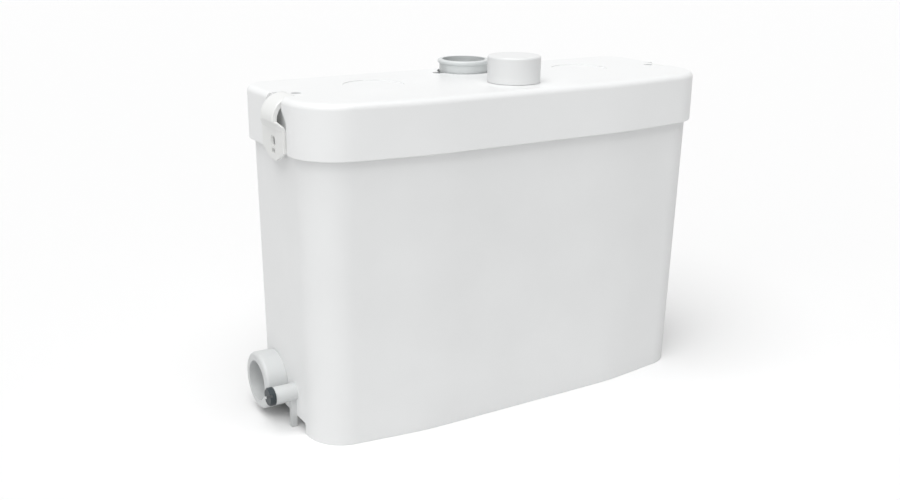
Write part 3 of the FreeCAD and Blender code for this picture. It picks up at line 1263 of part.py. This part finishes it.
PIECES = {
    "tank_front": lambda: make_long_wall(-1),
    "tank_back": lambda: make_long_wall(1),
    "tank_end_left": lambda: make_tank_end(-1),
    "tank_end_right": lambda: make_tank_end(1),
    "pump_bosses": make_pump_bosses,
    "tank_floor": make_tank_floor,
    "inlet_stub_left": lambda: make_inlet_stub(-1),
    "inlet_stub_right": lambda: make_inlet_stub(1),
    "drain_spout_left": lambda: make_drain_spout(-1),
    "drain_spout_right": lambda: make_drain_spout(1),
    "lid": make_lid,
    "lid_gasket": make_gasket,
    "lid_screw_left": lambda: lid_screw(-1),
    "lid_screw_right": lambda: lid_screw(1),
    "clip_left": lambda: make_clip(-1),
    "clip_right": lambda: make_clip(1),
    "clip_pins": make_clip_pins,
    "vent_cap": make_vent_cap,
    "vent_filter": make_vent_filter,
    "vent_spigot": make_vent_spigot,
    "inlet_flap_left": lambda: make_inlet_flap(-1),
    "inlet_flap_right": lambda: make_inlet_flap(1),
    "flap_pins": make_flap_pins,
    "drain_plug_left": lambda: make_drain_plug(-1),
    "drain_plug_right": lambda: make_drain_plug(1),
    "plug_seal_left": lambda: make_plug_seal(-1),
    "plug_seal_right": lambda: make_plug_seal(1),
    "discharge_collar": make_collar,
    "check_valve_flap": make_check_flap,
    "check_valve_pin": lambda: valve_pin_shape(0.0),
    "riser_pipe": make_riser,
    "outlet_sleeve": make_outlet_sleeve,
    "suction_strainer": make_strainer,
    "volute": make_volute,
    "pump_bushes": make_pump_bushes,
    "pump_foot_screws": make_foot_screws,
    "bearing_bracket": make_bracket,
    "shaft_seal": make_shaft_seal,
    "lower_bearing": lambda: make_bearing(LOWER_BEARING_Z),
    "upper_bearing": lambda: make_bearing(UPPER_BEARING_Z),
    "motor_can": make_motor_can,
    "motor_cover": make_motor_cover,
    "stator_core": make_stator,
    "stator_winding": make_winding,
    "rotor_core": make_rotor,
    "pump_shaft": make_shaft,
    "impeller": make_impeller,
    "cutter": make_cutter,
    "shaft_nut": make_shaft_nut,
    "pressure_chamber": make_pressure_chamber,
    "component_deck": make_deck,
    "deck_screws": make_deck_screws,
    "switch_housing": make_switch_housing,
    "switch_membrane": make_membrane,
    "switch_plunger": make_plunger,
    "microswitch": make_microswitch,
    "capacitor": make_capacitor,
    "capacitor_strap": make_capacitor_strap,
    "terminal_block": make_terminal_block,
    "cable_grommet": make_grommet,
}


os.makedirs("parts", exist_ok=True)
for name, maker in PIECES.items():
    shape = maker()
    if not shape.isValid():
        print("not valid:", name)
    shape.exportStep("parts/" + name + ".step")
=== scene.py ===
import bmesh
import bpy
import json
import math
from mathutils import Matrix, Vector


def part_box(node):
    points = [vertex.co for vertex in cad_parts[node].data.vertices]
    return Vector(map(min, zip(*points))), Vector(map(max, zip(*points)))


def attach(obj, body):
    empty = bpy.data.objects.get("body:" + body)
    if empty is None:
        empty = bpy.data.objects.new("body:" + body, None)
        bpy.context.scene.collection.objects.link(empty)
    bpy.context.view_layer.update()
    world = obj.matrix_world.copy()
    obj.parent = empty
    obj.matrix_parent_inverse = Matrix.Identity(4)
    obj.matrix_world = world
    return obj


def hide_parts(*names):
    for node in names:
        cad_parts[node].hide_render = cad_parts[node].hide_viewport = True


# Compact sewage lifting pump: white moulded tank and lid, end clips, vent cap, discharge collar,
# low inlets, drain, and the pump unit inside. Metres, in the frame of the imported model.

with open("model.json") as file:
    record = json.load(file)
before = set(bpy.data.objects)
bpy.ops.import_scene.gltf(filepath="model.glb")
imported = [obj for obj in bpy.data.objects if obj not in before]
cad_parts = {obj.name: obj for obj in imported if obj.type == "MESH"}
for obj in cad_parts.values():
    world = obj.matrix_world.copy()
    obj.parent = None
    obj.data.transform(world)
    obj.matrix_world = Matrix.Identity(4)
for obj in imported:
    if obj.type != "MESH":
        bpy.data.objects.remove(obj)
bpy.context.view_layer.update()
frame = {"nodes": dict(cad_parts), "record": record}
NODES = frame["nodes"]
MM = 0.001

# Camera, as calibrated on the photograph
CAMERA_PLACE = Vector((-0.5049, -0.7565, 0.4157))
CAMERA_YAW = math.radians(31.68)
CAMERA_PITCH = math.radians(17.65)
CAMERA_ROLL = math.radians(0.61)
FOCAL_PIXELS = 1045.3
PHOTO_WIDE = 900
SENSOR = 36.0

# Studio
WORLD_LIGHT = 0.20
OVERHEAD_POWER = 2.42
OVERHEAD_SPREAD = math.radians(62)
OVERHEAD_FROM = Vector((-0.24, -0.20, 1.0))
FILL_POWER = 0.80
FILL_SPREAD = math.radians(70)
FILL_FROM = Vector((-0.68, -0.66, 0.30))
PAPER_SEEN = "#fbfbfb"
PAPER_BOUNCE = "#e6e6e6"
FLOOR_HALF = 6.0
FLOOR_DROP = 0.0002
NEAREST_SEEN = 0.01

# Winding: radius of one wire, the section of an end ring, and the bundle in each slot of the core
WIRE = 0.9 * MM
WIRE_SIDES = 8
RING_HIGH = 11 * MM
RING_WIDE = 12 * MM
RING_STEPS = 72
SLOTS = 12
SLOT_WIRES = 8
SLOT_BUNDLE = 3.8 * MM

# Internal wiring: radius of the insulation, how deep a lead sits in the block or the motor's entry,
# how far the leads to the motor lie apart, and where that entry stands on the pump's cover
LEAD = 1.1 * MM
LEAD_ROUNDNESS = 3
LEAD_ORDER = 3
LEAD_ENTRY = 5 * MM
LEAD_APART = 2.2 * LEAD
PUMP_ENTRY_X = 36 * MM

# Ways of the terminal block, and where the tabs of the microswitch and the capacitor stand
BLOCK_WAYS = 4
TAB_HOLD = 3 * MM
SWITCH_TAB_INSET = 5 * MM
CAPACITOR_TAB_OUT = 6 * MM
CAPACITOR_LEAD_BOW = 34 * MM


def mm(x, y, z):
    return Vector((x * MM, y * MM, z * MM))


def linear(code):
    """A colour written as an sRGB hex value, as linear light with an alpha of 1."""
    parts = [int(code[i:i + 2], 16) / 255 for i in (1, 3, 5)]
    return [c / 12.92 if c <= 0.04045 else ((c + 0.055) / 1.055) ** 2.4 for c in parts] + [1.0]


def add(tree, kind, settings=None, links=None):
    """A shader node with its settings, inputs by name, and links from other nodes' outputs."""
    made = tree.nodes.new(kind)
    for key, value in (settings or {}).items():
        if key in made.inputs:
            made.inputs[key].default_value = value
        else:
            setattr(made, key, value)
    for key, source in (links or {}).items():
        tree.links.new(source, made.inputs[key])
    return made


def new_material(name):
    made = bpy.data.materials.new(name)
    made.use_nodes = True
    made.node_tree.nodes.clear()
    return made, made.node_tree


def finish_material(tree, shader):
    add(tree, "ShaderNodeOutputMaterial", links={"Surface": shader.outputs[0]})


def tones(tree, source, stops):
    """A ramp through sRGB colours at given places."""
    ramp = add(tree, "ShaderNodeValToRGB", links={"Fac": source})
    points = ramp.color_ramp.elements
    while len(points) < len(stops):
        points.new(0.5)
    for point, (place, code) in zip(points, stops):
        point.position = place
        point.color = linear(code)
    return ramp.outputs["Color"]


def span(tree, source, low, high):
    """A 0 to 1 pattern as a value between low and high."""
    made = add(tree, "ShaderNodeMapRange", {"To Min": low, "To Max": high}, {"Value": source})
    return made.outputs["Result"]


def place(tree, scale=(1, 1, 1)):
    """Object coordinates, stretched along the axes."""
    coordinates = add(tree, "ShaderNodeTexCoord").outputs["Object"]
    if tuple(scale) == (1, 1, 1):
        return coordinates
    made = add(tree, "ShaderNodeMapping", {"Scale": scale}, {"Vector": coordinates})
    return made.outputs["Vector"]


def noise(tree, size_mm, detail, where, roughness=0.5):
    """A cloudy pattern with spots about as wide as size_mm."""
    made = add(tree, "ShaderNodeTexNoise",
               {"Scale": 1 / (size_mm * MM), "Detail": detail, "Roughness": roughness}, {"Vector": where})
    return made.outputs["Fac"]


def bumps(tree, source, strength, high_mm):
    """A surface raised by a pattern, by up to high_mm."""
    made = add(tree, "ShaderNodeBump", {"Strength": strength, "Distance": high_mm * MM}, {"Height": source})
    return made.outputs["Normal"]


def moulded(name, pale, deep, rough, grain_mm, grain_high, flow_mm=60.0, ior=1.5):
    """Injection-moulded plastic: a faint flow of tone and a fine spark-eroded skin."""
    made, tree = new_material(name)
    where = place(tree)
    flow = noise(tree, flow_mm, 3.0, where, 0.45)
    skin = noise(tree, grain_mm, 2.0, where, 0.6)
    wash = noise(tree, 9.0, 4.0, where)
    smoother, duller = rough - 0.04, rough + 0.05
    shader = add(tree, "ShaderNodeBsdfPrincipled", {"IOR": ior},
                 {"Base Color": tones(tree, flow, [(0.25, deep), (0.75, pale)]),
                  "Roughness": span(tree, wash, smoother, duller),
                  "Normal": bumps(tree, skin, 0.35, grain_high)})
    finish_material(tree, shader)
    return made


def vulcanised(name, pale, deep, rough=0.62):
    """EPDM rubber: nearly black, dull, with a bloom of paler dust and a slight pebble."""
    made, tree = new_material(name)
    where = place(tree)
    dust = noise(tree, 6.0, 5.0, where, 0.7)
    pebble = add(tree, "ShaderNodeTexVoronoi", {"Scale": 1 / (0.9 * MM)}, {"Vector": where})
    smoother, duller = rough - 0.08, rough + 0.1
    shader = add(tree, "ShaderNodeBsdfPrincipled", {"IOR": 1.52},
                 {"Base Color": tones(tree, dust, [(0.35, deep), (0.8, pale)]),
                  "Roughness": span(tree, dust, smoother, duller),
                  "Normal": bumps(tree, pebble.outputs["Distance"], 0.4, 0.05)})
    finish_material(tree, shader)
    return made


def turned(name, pale, deep, rough, line_mm, stretch):
    """Metal with tool or draw marks: fine lines along one way, from a stretched noise."""
    made, tree = new_material(name)
    lines = noise(tree, line_mm, 3.0, place(tree, stretch), 0.7)
    stain = noise(tree, 14.0, 3.0, place(tree))
    brighter, duller = rough - 0.08, rough + 0.12
    shader = add(tree, "ShaderNodeBsdfPrincipled", {"Metallic": 1.0},
                 {"Base Color": tones(tree, stain, [(0.3, deep), (0.7, pale)]),
                  "Roughness": span(tree, lines, brighter, duller),
                  "Normal": bumps(tree, lines, 0.3, 0.02)})
    finish_material(tree, shader)
    return made


def pressed_laminations():
    """Electrical steel sheets stacked into the core: dull grey, a dark line between each pair."""
    made, tree = new_material("silicon_steel_laminated")
    where = place(tree)
    layers = add(tree, "ShaderNodeTexWave",
                 {"wave_type": "BANDS", "bands_direction": "Z", "Scale": 1 / (1.6 * MM) / math.tau},
                 {"Vector": where})
    rust = noise(tree, 7.0, 4.0, where)
    shade = add(tree, "ShaderNodeMix", {"data_type": "RGBA", "blend_type": "MULTIPLY"})
    shade.inputs[0].default_value = 0.6
    tree.links.new(tones(tree, rust, [(0.3, "#5b5854"), (0.7, "#8a8987")]), shade.inputs[6])
    tree.links.new(tones(tree, layers.outputs["Fac"], [(0.05, "#4a4846"), (0.4, "#ffffff")]), shade.inputs[7])
    shader = add(tree, "ShaderNodeBsdfPrincipled", {"Metallic": 0.85, "Roughness": 0.52},
                 {"Base Color": shade.outputs[2], "Normal": bumps(tree, layers.outputs["Fac"], 0.6, 0.1)})
    finish_material(tree, shader)
    return made


def wound_copper():
    """Enamelled copper wire, wound: amber lacquer over parallel round wires."""
    made, tree = new_material("copper_enamelled_wound")
    where = place(tree)
    wires = add(tree, "ShaderNodeTexWave",
                {"wave_type": "BANDS", "bands_direction": "DIAGONAL", "Scale": 1 / (1.1 * MM) / math.tau,
                 "Distortion": 1.5, "Detail": 1.0, "Detail Scale": 0.6}, {"Vector": where})
    varnish = noise(tree, 5.0, 3.0, where)
    shader = add(tree, "ShaderNodeBsdfPrincipled",
                 {"Metallic": 0.7, "Coat Weight": 0.6, "Coat Roughness": 0.2},
                 {"Base Color": tones(tree, varnish, [(0.3, "#8a3d1c"), (0.7, "#c9713a")]),
                  "Roughness": span(tree, varnish, 0.3, 0.45),
                  "Normal": bumps(tree, wires.outputs["Fac"], 0.9, 0.3)})
    finish_material(tree, shader)
    return made


def charcoal_foam():
    """Carbon-loaded polyurethane foam: black open cells about a millimetre across."""
    made, tree = new_material("polyurethane_foam_carbon")
    cells = add(tree, "ShaderNodeTexVoronoi", {"Scale": 1 / (1.3 * MM)}, {"Vector": place(tree)})
    bump = add(tree, "ShaderNodeBump", {"Strength": 1.0, "Distance": 0.6 * MM, "invert": True},
               {"Height": cells.outputs["Distance"]})
    shader = add(tree, "ShaderNodeBsdfPrincipled", {"Roughness": 0.95, "Specular IOR Level": 0.2},
                 {"Base Color": tones(tree, cells.outputs["Distance"], [(0.0, "#0c0c0c"), (0.7, "#33322f")]),
                  "Normal": bump.outputs["Normal"]})
    finish_material(tree, shader)
    return made


# Finishes by the record's slots: pale and deep tone, roughness, width and height of the grain in millimetres.
# Metals take the width of a line and its stretch along the axes instead. Comments give the real material.
FINISHES = {
    # ABS, moulded in a lightly sparked tool: bright white with a soft satin highlight
    "tank_white": moulded("abs_moulded_tank", "#eff0f0", "#ebecec", 0.36, 0.8, 0.006),
    # ABS, moulded in a smoother tool: the same white, a little glossier
    "lid_white": moulded("abs_moulded_lid", "#f3f4f4", "#f0f1f1", 0.3, 0.9, 0.004),
    # ABS pipe stubs, moulded and welded in: the tank's white, a shade greyer, partly as painted shade for the
    # shade the stubs lie in
    "stub_white": moulded("abs_moulded_stub", "#d5d7d7", "#d0d2d2", 0.36, 0.8, 0.006),
    # Acetal, moulded: slightly translucent white that reads a touch warmer
    "clip_white": moulded("acetal_moulded_clip", "#eff0ef", "#ebecea", 0.3, 0.6, 0.004),
    # ABS, moulded: as the lid, with a duller top
    "cap_white": moulded("abs_moulded_cap", "#e8e9e9", "#e4e5e5", 0.32, 0.7, 0.004),
    # Polypropylene, moulded: a greyer, waxier white; the grey is partly painted shade, for the shade under
    # the bead on the neck
    "collar_white": moulded("polypropylene_moulded_collar", "#dcdfdf", "#d6dada", 0.4, 0.7, 0.006),
    # EPDM, moulded: dull black
    "seal_rubber": vulcanised("epdm_moulded_seal", "#33332f", "#161615"),
    # Nitrile, moulded: charcoal with a soft sheen
    "flap_rubber": vulcanised("nitrile_moulded_flap", "#3c3d3f", "#202122", 0.5),
    # Stainless steel, cold headed: bright, slightly smeared lines
    "screw_steel": turned("stainless_cold_headed", "#c9cbcc", "#a7a9aa", 0.3, 0.6, (1, 1, 4)),
    # Stainless steel, drawn wire: lines along the pin
    "pin_steel": turned("stainless_drawn", "#cfd1d2", "#aeb0b1", 0.26, 0.5, (4, 0.3, 4)),
    # Bearing steel, ground: nearly a mirror
    "bearing_steel": turned("bearing_steel_ground", "#d6d8da", "#b9bbbd", 0.18, 0.4, (1, 1, 6)),
    # Stainless steel, deep drawn: long vertical draw lines
    "can_steel": turned("stainless_deep_drawn", "#c4c6c7", "#a2a4a5", 0.34, 0.7, (3, 3, 0.2)),
    # Silicon steel sheets, pressed and stacked
    "core_steel": pressed_laminations(),
    # Stainless steel, ground on centres: rings round the shaft
    "shaft_steel": turned("stainless_ground", "#cdcfd0", "#adafb0", 0.22, 0.4, (0.3, 0.3, 5)),
    # Hardened stainless steel, milled and ground
    "cutter_steel": turned("hardened_stainless_ground", "#bfc1c2", "#989a9b", 0.3, 0.5, (0.6, 4, 1)),
    # Copper, enamelled and wound
    "winding_copper": wound_copper(),
    # Aluminium, die cast: pale, grainy and matt
    "bracket_aluminium": turned("aluminium_die_cast", "#b9bbbc", "#959798", 0.48, 1.2, (1, 1, 1)),
    # Alumina ceramic, lapped: dense off-white
    "seal_ceramic": moulded("alumina_lapped", "#dcd6c8", "#d2cbbb", 0.2, 1.0, 0.01, ior=1.76),
    # Polyurethane foam, loaded with carbon
    "filter_carbon": charcoal_foam(),
    # Nylon, moulded: dark blue-grey with a satin skin
    "plug_grey": moulded("nylon_moulded_plug", "#2f383d", "#272f33", 0.38, 0.6, 0.01),
    # Polypropylene pipe, extruded: mid grey, softly glossy
    "pipe_grey": moulded("polypropylene_extruded_pipe", "#a9abac", "#9ea0a1", 0.36, 1.4, 0.03),
    # Glass-filled nylon, moulded: black with pale fibre flow
    "pump_black": moulded("glass_nylon_moulded", "#3b3c3e", "#242527", 0.44, 0.8, 0.06, flow_mm=12.0),
    # Acetal, moulded: black, smoother than the housing
    "impeller_black": moulded("acetal_moulded_impeller", "#333436", "#242526", 0.32, 0.6, 0.02),
    # Polypropylene, moulded: light grey plate
    "deck_grey": moulded("polypropylene_moulded_deck", "#b6b8ba", "#abadaf", 0.45, 0.9, 0.05),
    # Polyester resin, moulded: black, hard and smooth
    "switch_black": moulded("polyester_moulded_switch", "#2c2d2f", "#1e1f20", 0.35, 0.7, 0.03),
    # Acetal, moulded: natural white
    "plunger_white": moulded("acetal_moulded_plunger", "#e6e6e2", "#dededa", 0.34, 0.6, 0.02),
    # Polypropylene can, moulded: ivory white
    "capacitor_white": moulded("polypropylene_moulded_can", "#e9e9e4", "#e1e1db", 0.3, 0.8, 0.02),
    # Polyamide, moulded: cream
    "block_cream": moulded("polyamide_moulded_block", "#d9d1b8", "#cfc6aa", 0.4, 0.7, 0.03),
}


def pvc(name, pale, deep):
    """Extruded PVC insulation: one flat colour with a soft gloss."""
    return moulded(name, pale, deep, 0.34, 0.5, 0.004, flow_mm=20.0)


def finished_mesh(name, sheet, material, body):
    mesh = bpy.data.meshes.new(name)
    sheet.to_mesh(mesh)
    sheet.free()
    for face in mesh.polygons:
        face.use_smooth = True
    obj = bpy.data.objects.new(name, mesh)
    obj.data.materials.append(material)
    bpy.context.scene.collection.objects.link(obj)
    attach(obj, body)
    return obj


def wire_ring(sheet, centre, radius, z):
    """One round wire bent into a closed ring about the shaft line."""
    flat = Matrix.Translation(centre + Vector((radius, 0, z))) @ Matrix.Rotation(math.pi / 2, 4, "X")
    made = bmesh.ops.create_circle(sheet, segments=WIRE_SIDES, radius=WIRE, matrix=flat)
    edges = list({edge for vert in made["verts"] for edge in vert.link_edges})
    bmesh.ops.spin(sheet, geom=made["verts"] + edges, cent=centre, axis=(0, 0, 1),
                   angle=math.tau, steps=RING_STEPS, use_merge=True)


def winding_rings(sheet, centre, middle, low):
    """The outer layer of wires of one end ring, laid round its rounded section."""
    pitch = 2 * WIRE
    across = int(RING_WIDE / pitch)
    up = int(RING_HIGH / pitch)
    for i in range(across):
        for j in range(up):
            inside = 0 < i < across - 1 and 0 < j < up - 1
            corner = i in (0, across - 1) and j in (0, up - 1)
            if not inside and not corner:
                radius = middle + (i - (across - 1) / 2) * pitch
                wire_ring(sheet, centre, radius, low + WIRE + j * pitch)


def slot_bundles(sheet, centre, middle, low, high):
    """The straight wires that run through each slot of the core."""
    for i in range(SLOTS):
        turn = math.tau * i / SLOTS
        root = centre + Vector((math.cos(turn), math.sin(turn), 0)) * middle
        for j in range(SLOT_WIRES):
            side = math.tau * j / SLOT_WIRES
            spot = root + Vector((math.cos(side), math.sin(side), 0)) * (SLOT_BUNDLE - WIRE)
            stand = Matrix.Translation(spot + Vector((0, 0, (low + high) / 2)))
            bmesh.ops.create_cone(sheet, cap_ends=False, segments=WIRE_SIDES, radius1=WIRE, radius2=WIRE,
                                  depth=high - low, matrix=stand)


def make_winding():
    """Copper wires in place of the plain winding: two end rings and a bundle in each slot."""
    low, high = (Vector(corner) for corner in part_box("stator_winding"))
    centre = (low + high) / 2
    centre.z = 0
    middle = (high.x - low.x) / 2 - RING_WIDE / 2
    sheet = bmesh.new()
    winding_rings(sheet, centre, middle, low.z)
    winding_rings(sheet, centre, middle, high.z - RING_HIGH)
    slot_bundles(sheet, centre, middle, low.z + RING_HIGH, high.z - RING_HIGH)
    obj = finished_mesh("winding_wires", sheet, FINISHES["winding_copper"], "tank")
    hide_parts("stator_winding")


def make_lead(name, points, material):
    """An insulated wire on a smooth line through the inside of the unit."""
    data = bpy.data.curves.new(name, "CURVE")
    data.dimensions = "3D"
    data.bevel_depth = LEAD
    data.bevel_resolution = LEAD_ROUNDNESS
    data.use_fill_caps = True
    line = data.splines.new("NURBS")
    line.points.add(len(points) - 1)
    for point, spot in zip(line.points, points):
        point.co = (*spot, 1)
    line.order_u = LEAD_ORDER
    line.use_endpoint_u = True
    obj = bpy.data.objects.new(name, data)
    obj.data.materials.append(material)
    bpy.context.scene.collection.objects.link(obj)
    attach(obj, "tank")


def make_wiring():
    """Leads from the terminal block to the motor, the microswitch and the capacitor."""
    brown = pvc("pvc_extruded_brown", "#6b4430", "#5d3a28")
    blue = pvc("pvc_extruded_blue", "#2f6fb0", "#28619b")
    green = pvc("pvc_extruded_green", "#4f9a3c", "#458a34")
    black = pvc("pvc_extruded_black", "#2b2b2c", "#212122")
    block_low, block_high = (Vector(corner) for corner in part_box("terminal_block"))
    cover_low, cover_high = (Vector(corner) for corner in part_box("motor_cover"))
    switch_low, switch_high = (Vector(corner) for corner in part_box("microswitch"))
    can_low, can_high = (Vector(corner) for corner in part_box("capacitor"))
    pitch = (block_high.y - block_low.y) / BLOCK_WAYS
    level = block_low.z + LEAD_ENTRY
    entry = Vector((PUMP_ENTRY_X, (cover_low.y + cover_high.y) / 2, cover_high.z))
    for i, material in enumerate((brown, blue, green)):
        y = block_low.y + (i + 0.5) * pitch
        start = Vector((block_high.x - LEAD_ENTRY, y, level))
        foot = entry + Vector((0, (i - 1) * LEAD_APART, -LEAD_ENTRY))
        make_lead("motor_lead_" + material.name.split("_")[-1], [
            start, start + mm(12, 0, 0), start + mm(28, 0, 5),
            foot + mm(-16, 0, 26), foot + mm(-1, 0, 22), foot], material)

    side = block_low.x + LEAD_ENTRY
    tab = Vector((switch_high.x - SWITCH_TAB_INSET, (switch_low.y + switch_high.y) / 2,
                  switch_high.z - TAB_HOLD))
    start = Vector((side, block_low.y + 1.5 * pitch, level))
    make_lead("switch_lead_black", [
        start, start + mm(-7, -3, 0), start + mm(-9, -9, 12),
        tab + mm(12, -9, 2), tab + mm(3, -3, 12), tab + mm(0, 0, 10), tab], black)
    tab = Vector(((switch_low.x + switch_high.x) / 2, tab.y, tab.z))
    start = Vector((side, block_low.y + 2.5 * pitch, level))
    make_lead("switch_lead_brown", [
        start, start + mm(-8, 4, 0), start + mm(-9, 9, 14),
        tab + mm(16, 11, 4), tab + mm(4, 5, 13), tab + mm(0, 0, 11), tab], brown)

    middle = (can_low + can_high) / 2
    for sign, way, material in ((1, 0.5, blue), (-1, 3.5, black)):
        tab = Vector((middle.x + sign * CAPACITOR_TAB_OUT, middle.y, can_high.z - TAB_HOLD))
        start = Vector((side, block_low.y + way * pitch, level))
        bow = Vector((0, -sign * CAPACITOR_LEAD_BOW, 0))
        foot = Vector((tab.x, tab.y, level))
        make_lead("capacitor_lead_" + material.name.split("_")[-1], [
            tab, tab + mm(0, 0, 4), tab + mm(3, 0, 3) + bow * 0.35,
            tab + mm(6, 0, -14) + bow * 0.8, tab + mm(16, 0, -44) + bow * 1.05,
            foot + mm(30, 0, 0) + bow * 1.12, start + mm(-30, 0, 0) + bow * 0.75,
            start + mm(-9, 0, 0) + bow * 0.15, start], material)


def dress_cad_nodes():
    slots = {entry["node"]: entry["material_slot"] for entry in frame["record"]["subparts"]}
    for name, obj in NODES.items():
        obj.data.materials.clear()
        obj.data.materials.append(FINISHES[slots[name]])


def make_camera():
    ahead = Vector((math.sin(CAMERA_YAW), math.cos(CAMERA_YAW), 0))
    side = Vector((math.cos(CAMERA_YAW), -math.sin(CAMERA_YAW), 0))
    rise = Vector((0, 0, 1))
    forward = ahead * math.cos(CAMERA_PITCH) - rise * math.sin(CAMERA_PITCH)
    above = rise * math.cos(CAMERA_PITCH) + ahead * math.sin(CAMERA_PITCH)
    right = side * math.cos(CAMERA_ROLL) + above * math.sin(CAMERA_ROLL)
    top = above * math.cos(CAMERA_ROLL) - side * math.sin(CAMERA_ROLL)
    data = bpy.data.cameras.new("camera")
    data.sensor_width = SENSOR
    data.lens = FOCAL_PIXELS / PHOTO_WIDE * SENSOR
    data.clip_start = NEAREST_SEEN
    obj = bpy.data.objects.new("camera", data)
    turn = Matrix((right, top, -forward)).transposed().to_4x4()
    obj.matrix_world = Matrix.Translation(CAMERA_PLACE) @ turn
    bpy.context.scene.collection.objects.link(obj)
    bpy.context.scene.camera = obj


def soft_light(name, power, spread, source):
    """A wide, even light from one side, the same all over the floor."""
    lamp = bpy.data.lights.new(name, "SUN")
    lamp.angle = spread
    lamp.energy = power
    obj = bpy.data.objects.new(name, lamp)
    obj.matrix_world = (-source).to_track_quat("-Z", "Y").to_matrix().to_4x4()
    bpy.context.scene.collection.objects.link(obj)


def make_studio():
    scene = bpy.context.scene
    scene.view_settings.view_transform = "Standard"
    world = bpy.data.worlds.new("studio")
    scene.world = world
    world.use_nodes = True
    tree = world.node_tree
    tree.nodes.clear()
    path = add(tree, "ShaderNodeLightPath")
    seen = add(tree, "ShaderNodeMath", {"operation": "MAXIMUM"})
    tree.links.new(path.outputs["Is Camera Ray"], seen.inputs[0])
    tree.links.new(path.outputs["Is Glossy Ray"], seen.inputs[1])
    strength = span(tree, seen.outputs[0], WORLD_LIGHT, 1.0)
    sky = add(tree, "ShaderNodeBackground", {"Color": (1, 1, 1, 1)}, {"Strength": strength})
    add(tree, "ShaderNodeOutputWorld", links={"Surface": sky.outputs[0]})

    soft_light("overhead", OVERHEAD_POWER, OVERHEAD_SPREAD, OVERHEAD_FROM)
    soft_light("fill", FILL_POWER, FILL_SPREAD, FILL_FROM)

    sheet = bmesh.new()
    bmesh.ops.create_grid(sheet, x_segments=1, y_segments=1, size=FLOOR_HALF)
    mesh = bpy.data.meshes.new("floor")
    sheet.to_mesh(mesh)
    sheet.free()
    floor = bpy.data.objects.new("floor", mesh)
    floor.location.z = -FLOOR_DROP
    made, tree = new_material("paper_sweep")
    path = add(tree, "ShaderNodeLightPath")
    paper = add(tree, "ShaderNodeBsdfPrincipled", {"Roughness": 0.9, "Specular IOR Level": 0.1},
                {"Base Color": tones(tree, path.outputs["Is Camera Ray"],
                                     [(0.0, PAPER_BOUNCE), (1.0, PAPER_SEEN)])})
    finish_material(tree, paper)
    floor.data.materials.append(made)
    scene.collection.objects.link(floor)


dress_cad_nodes()
make_winding()
make_wiring()
make_camera()
make_studio()
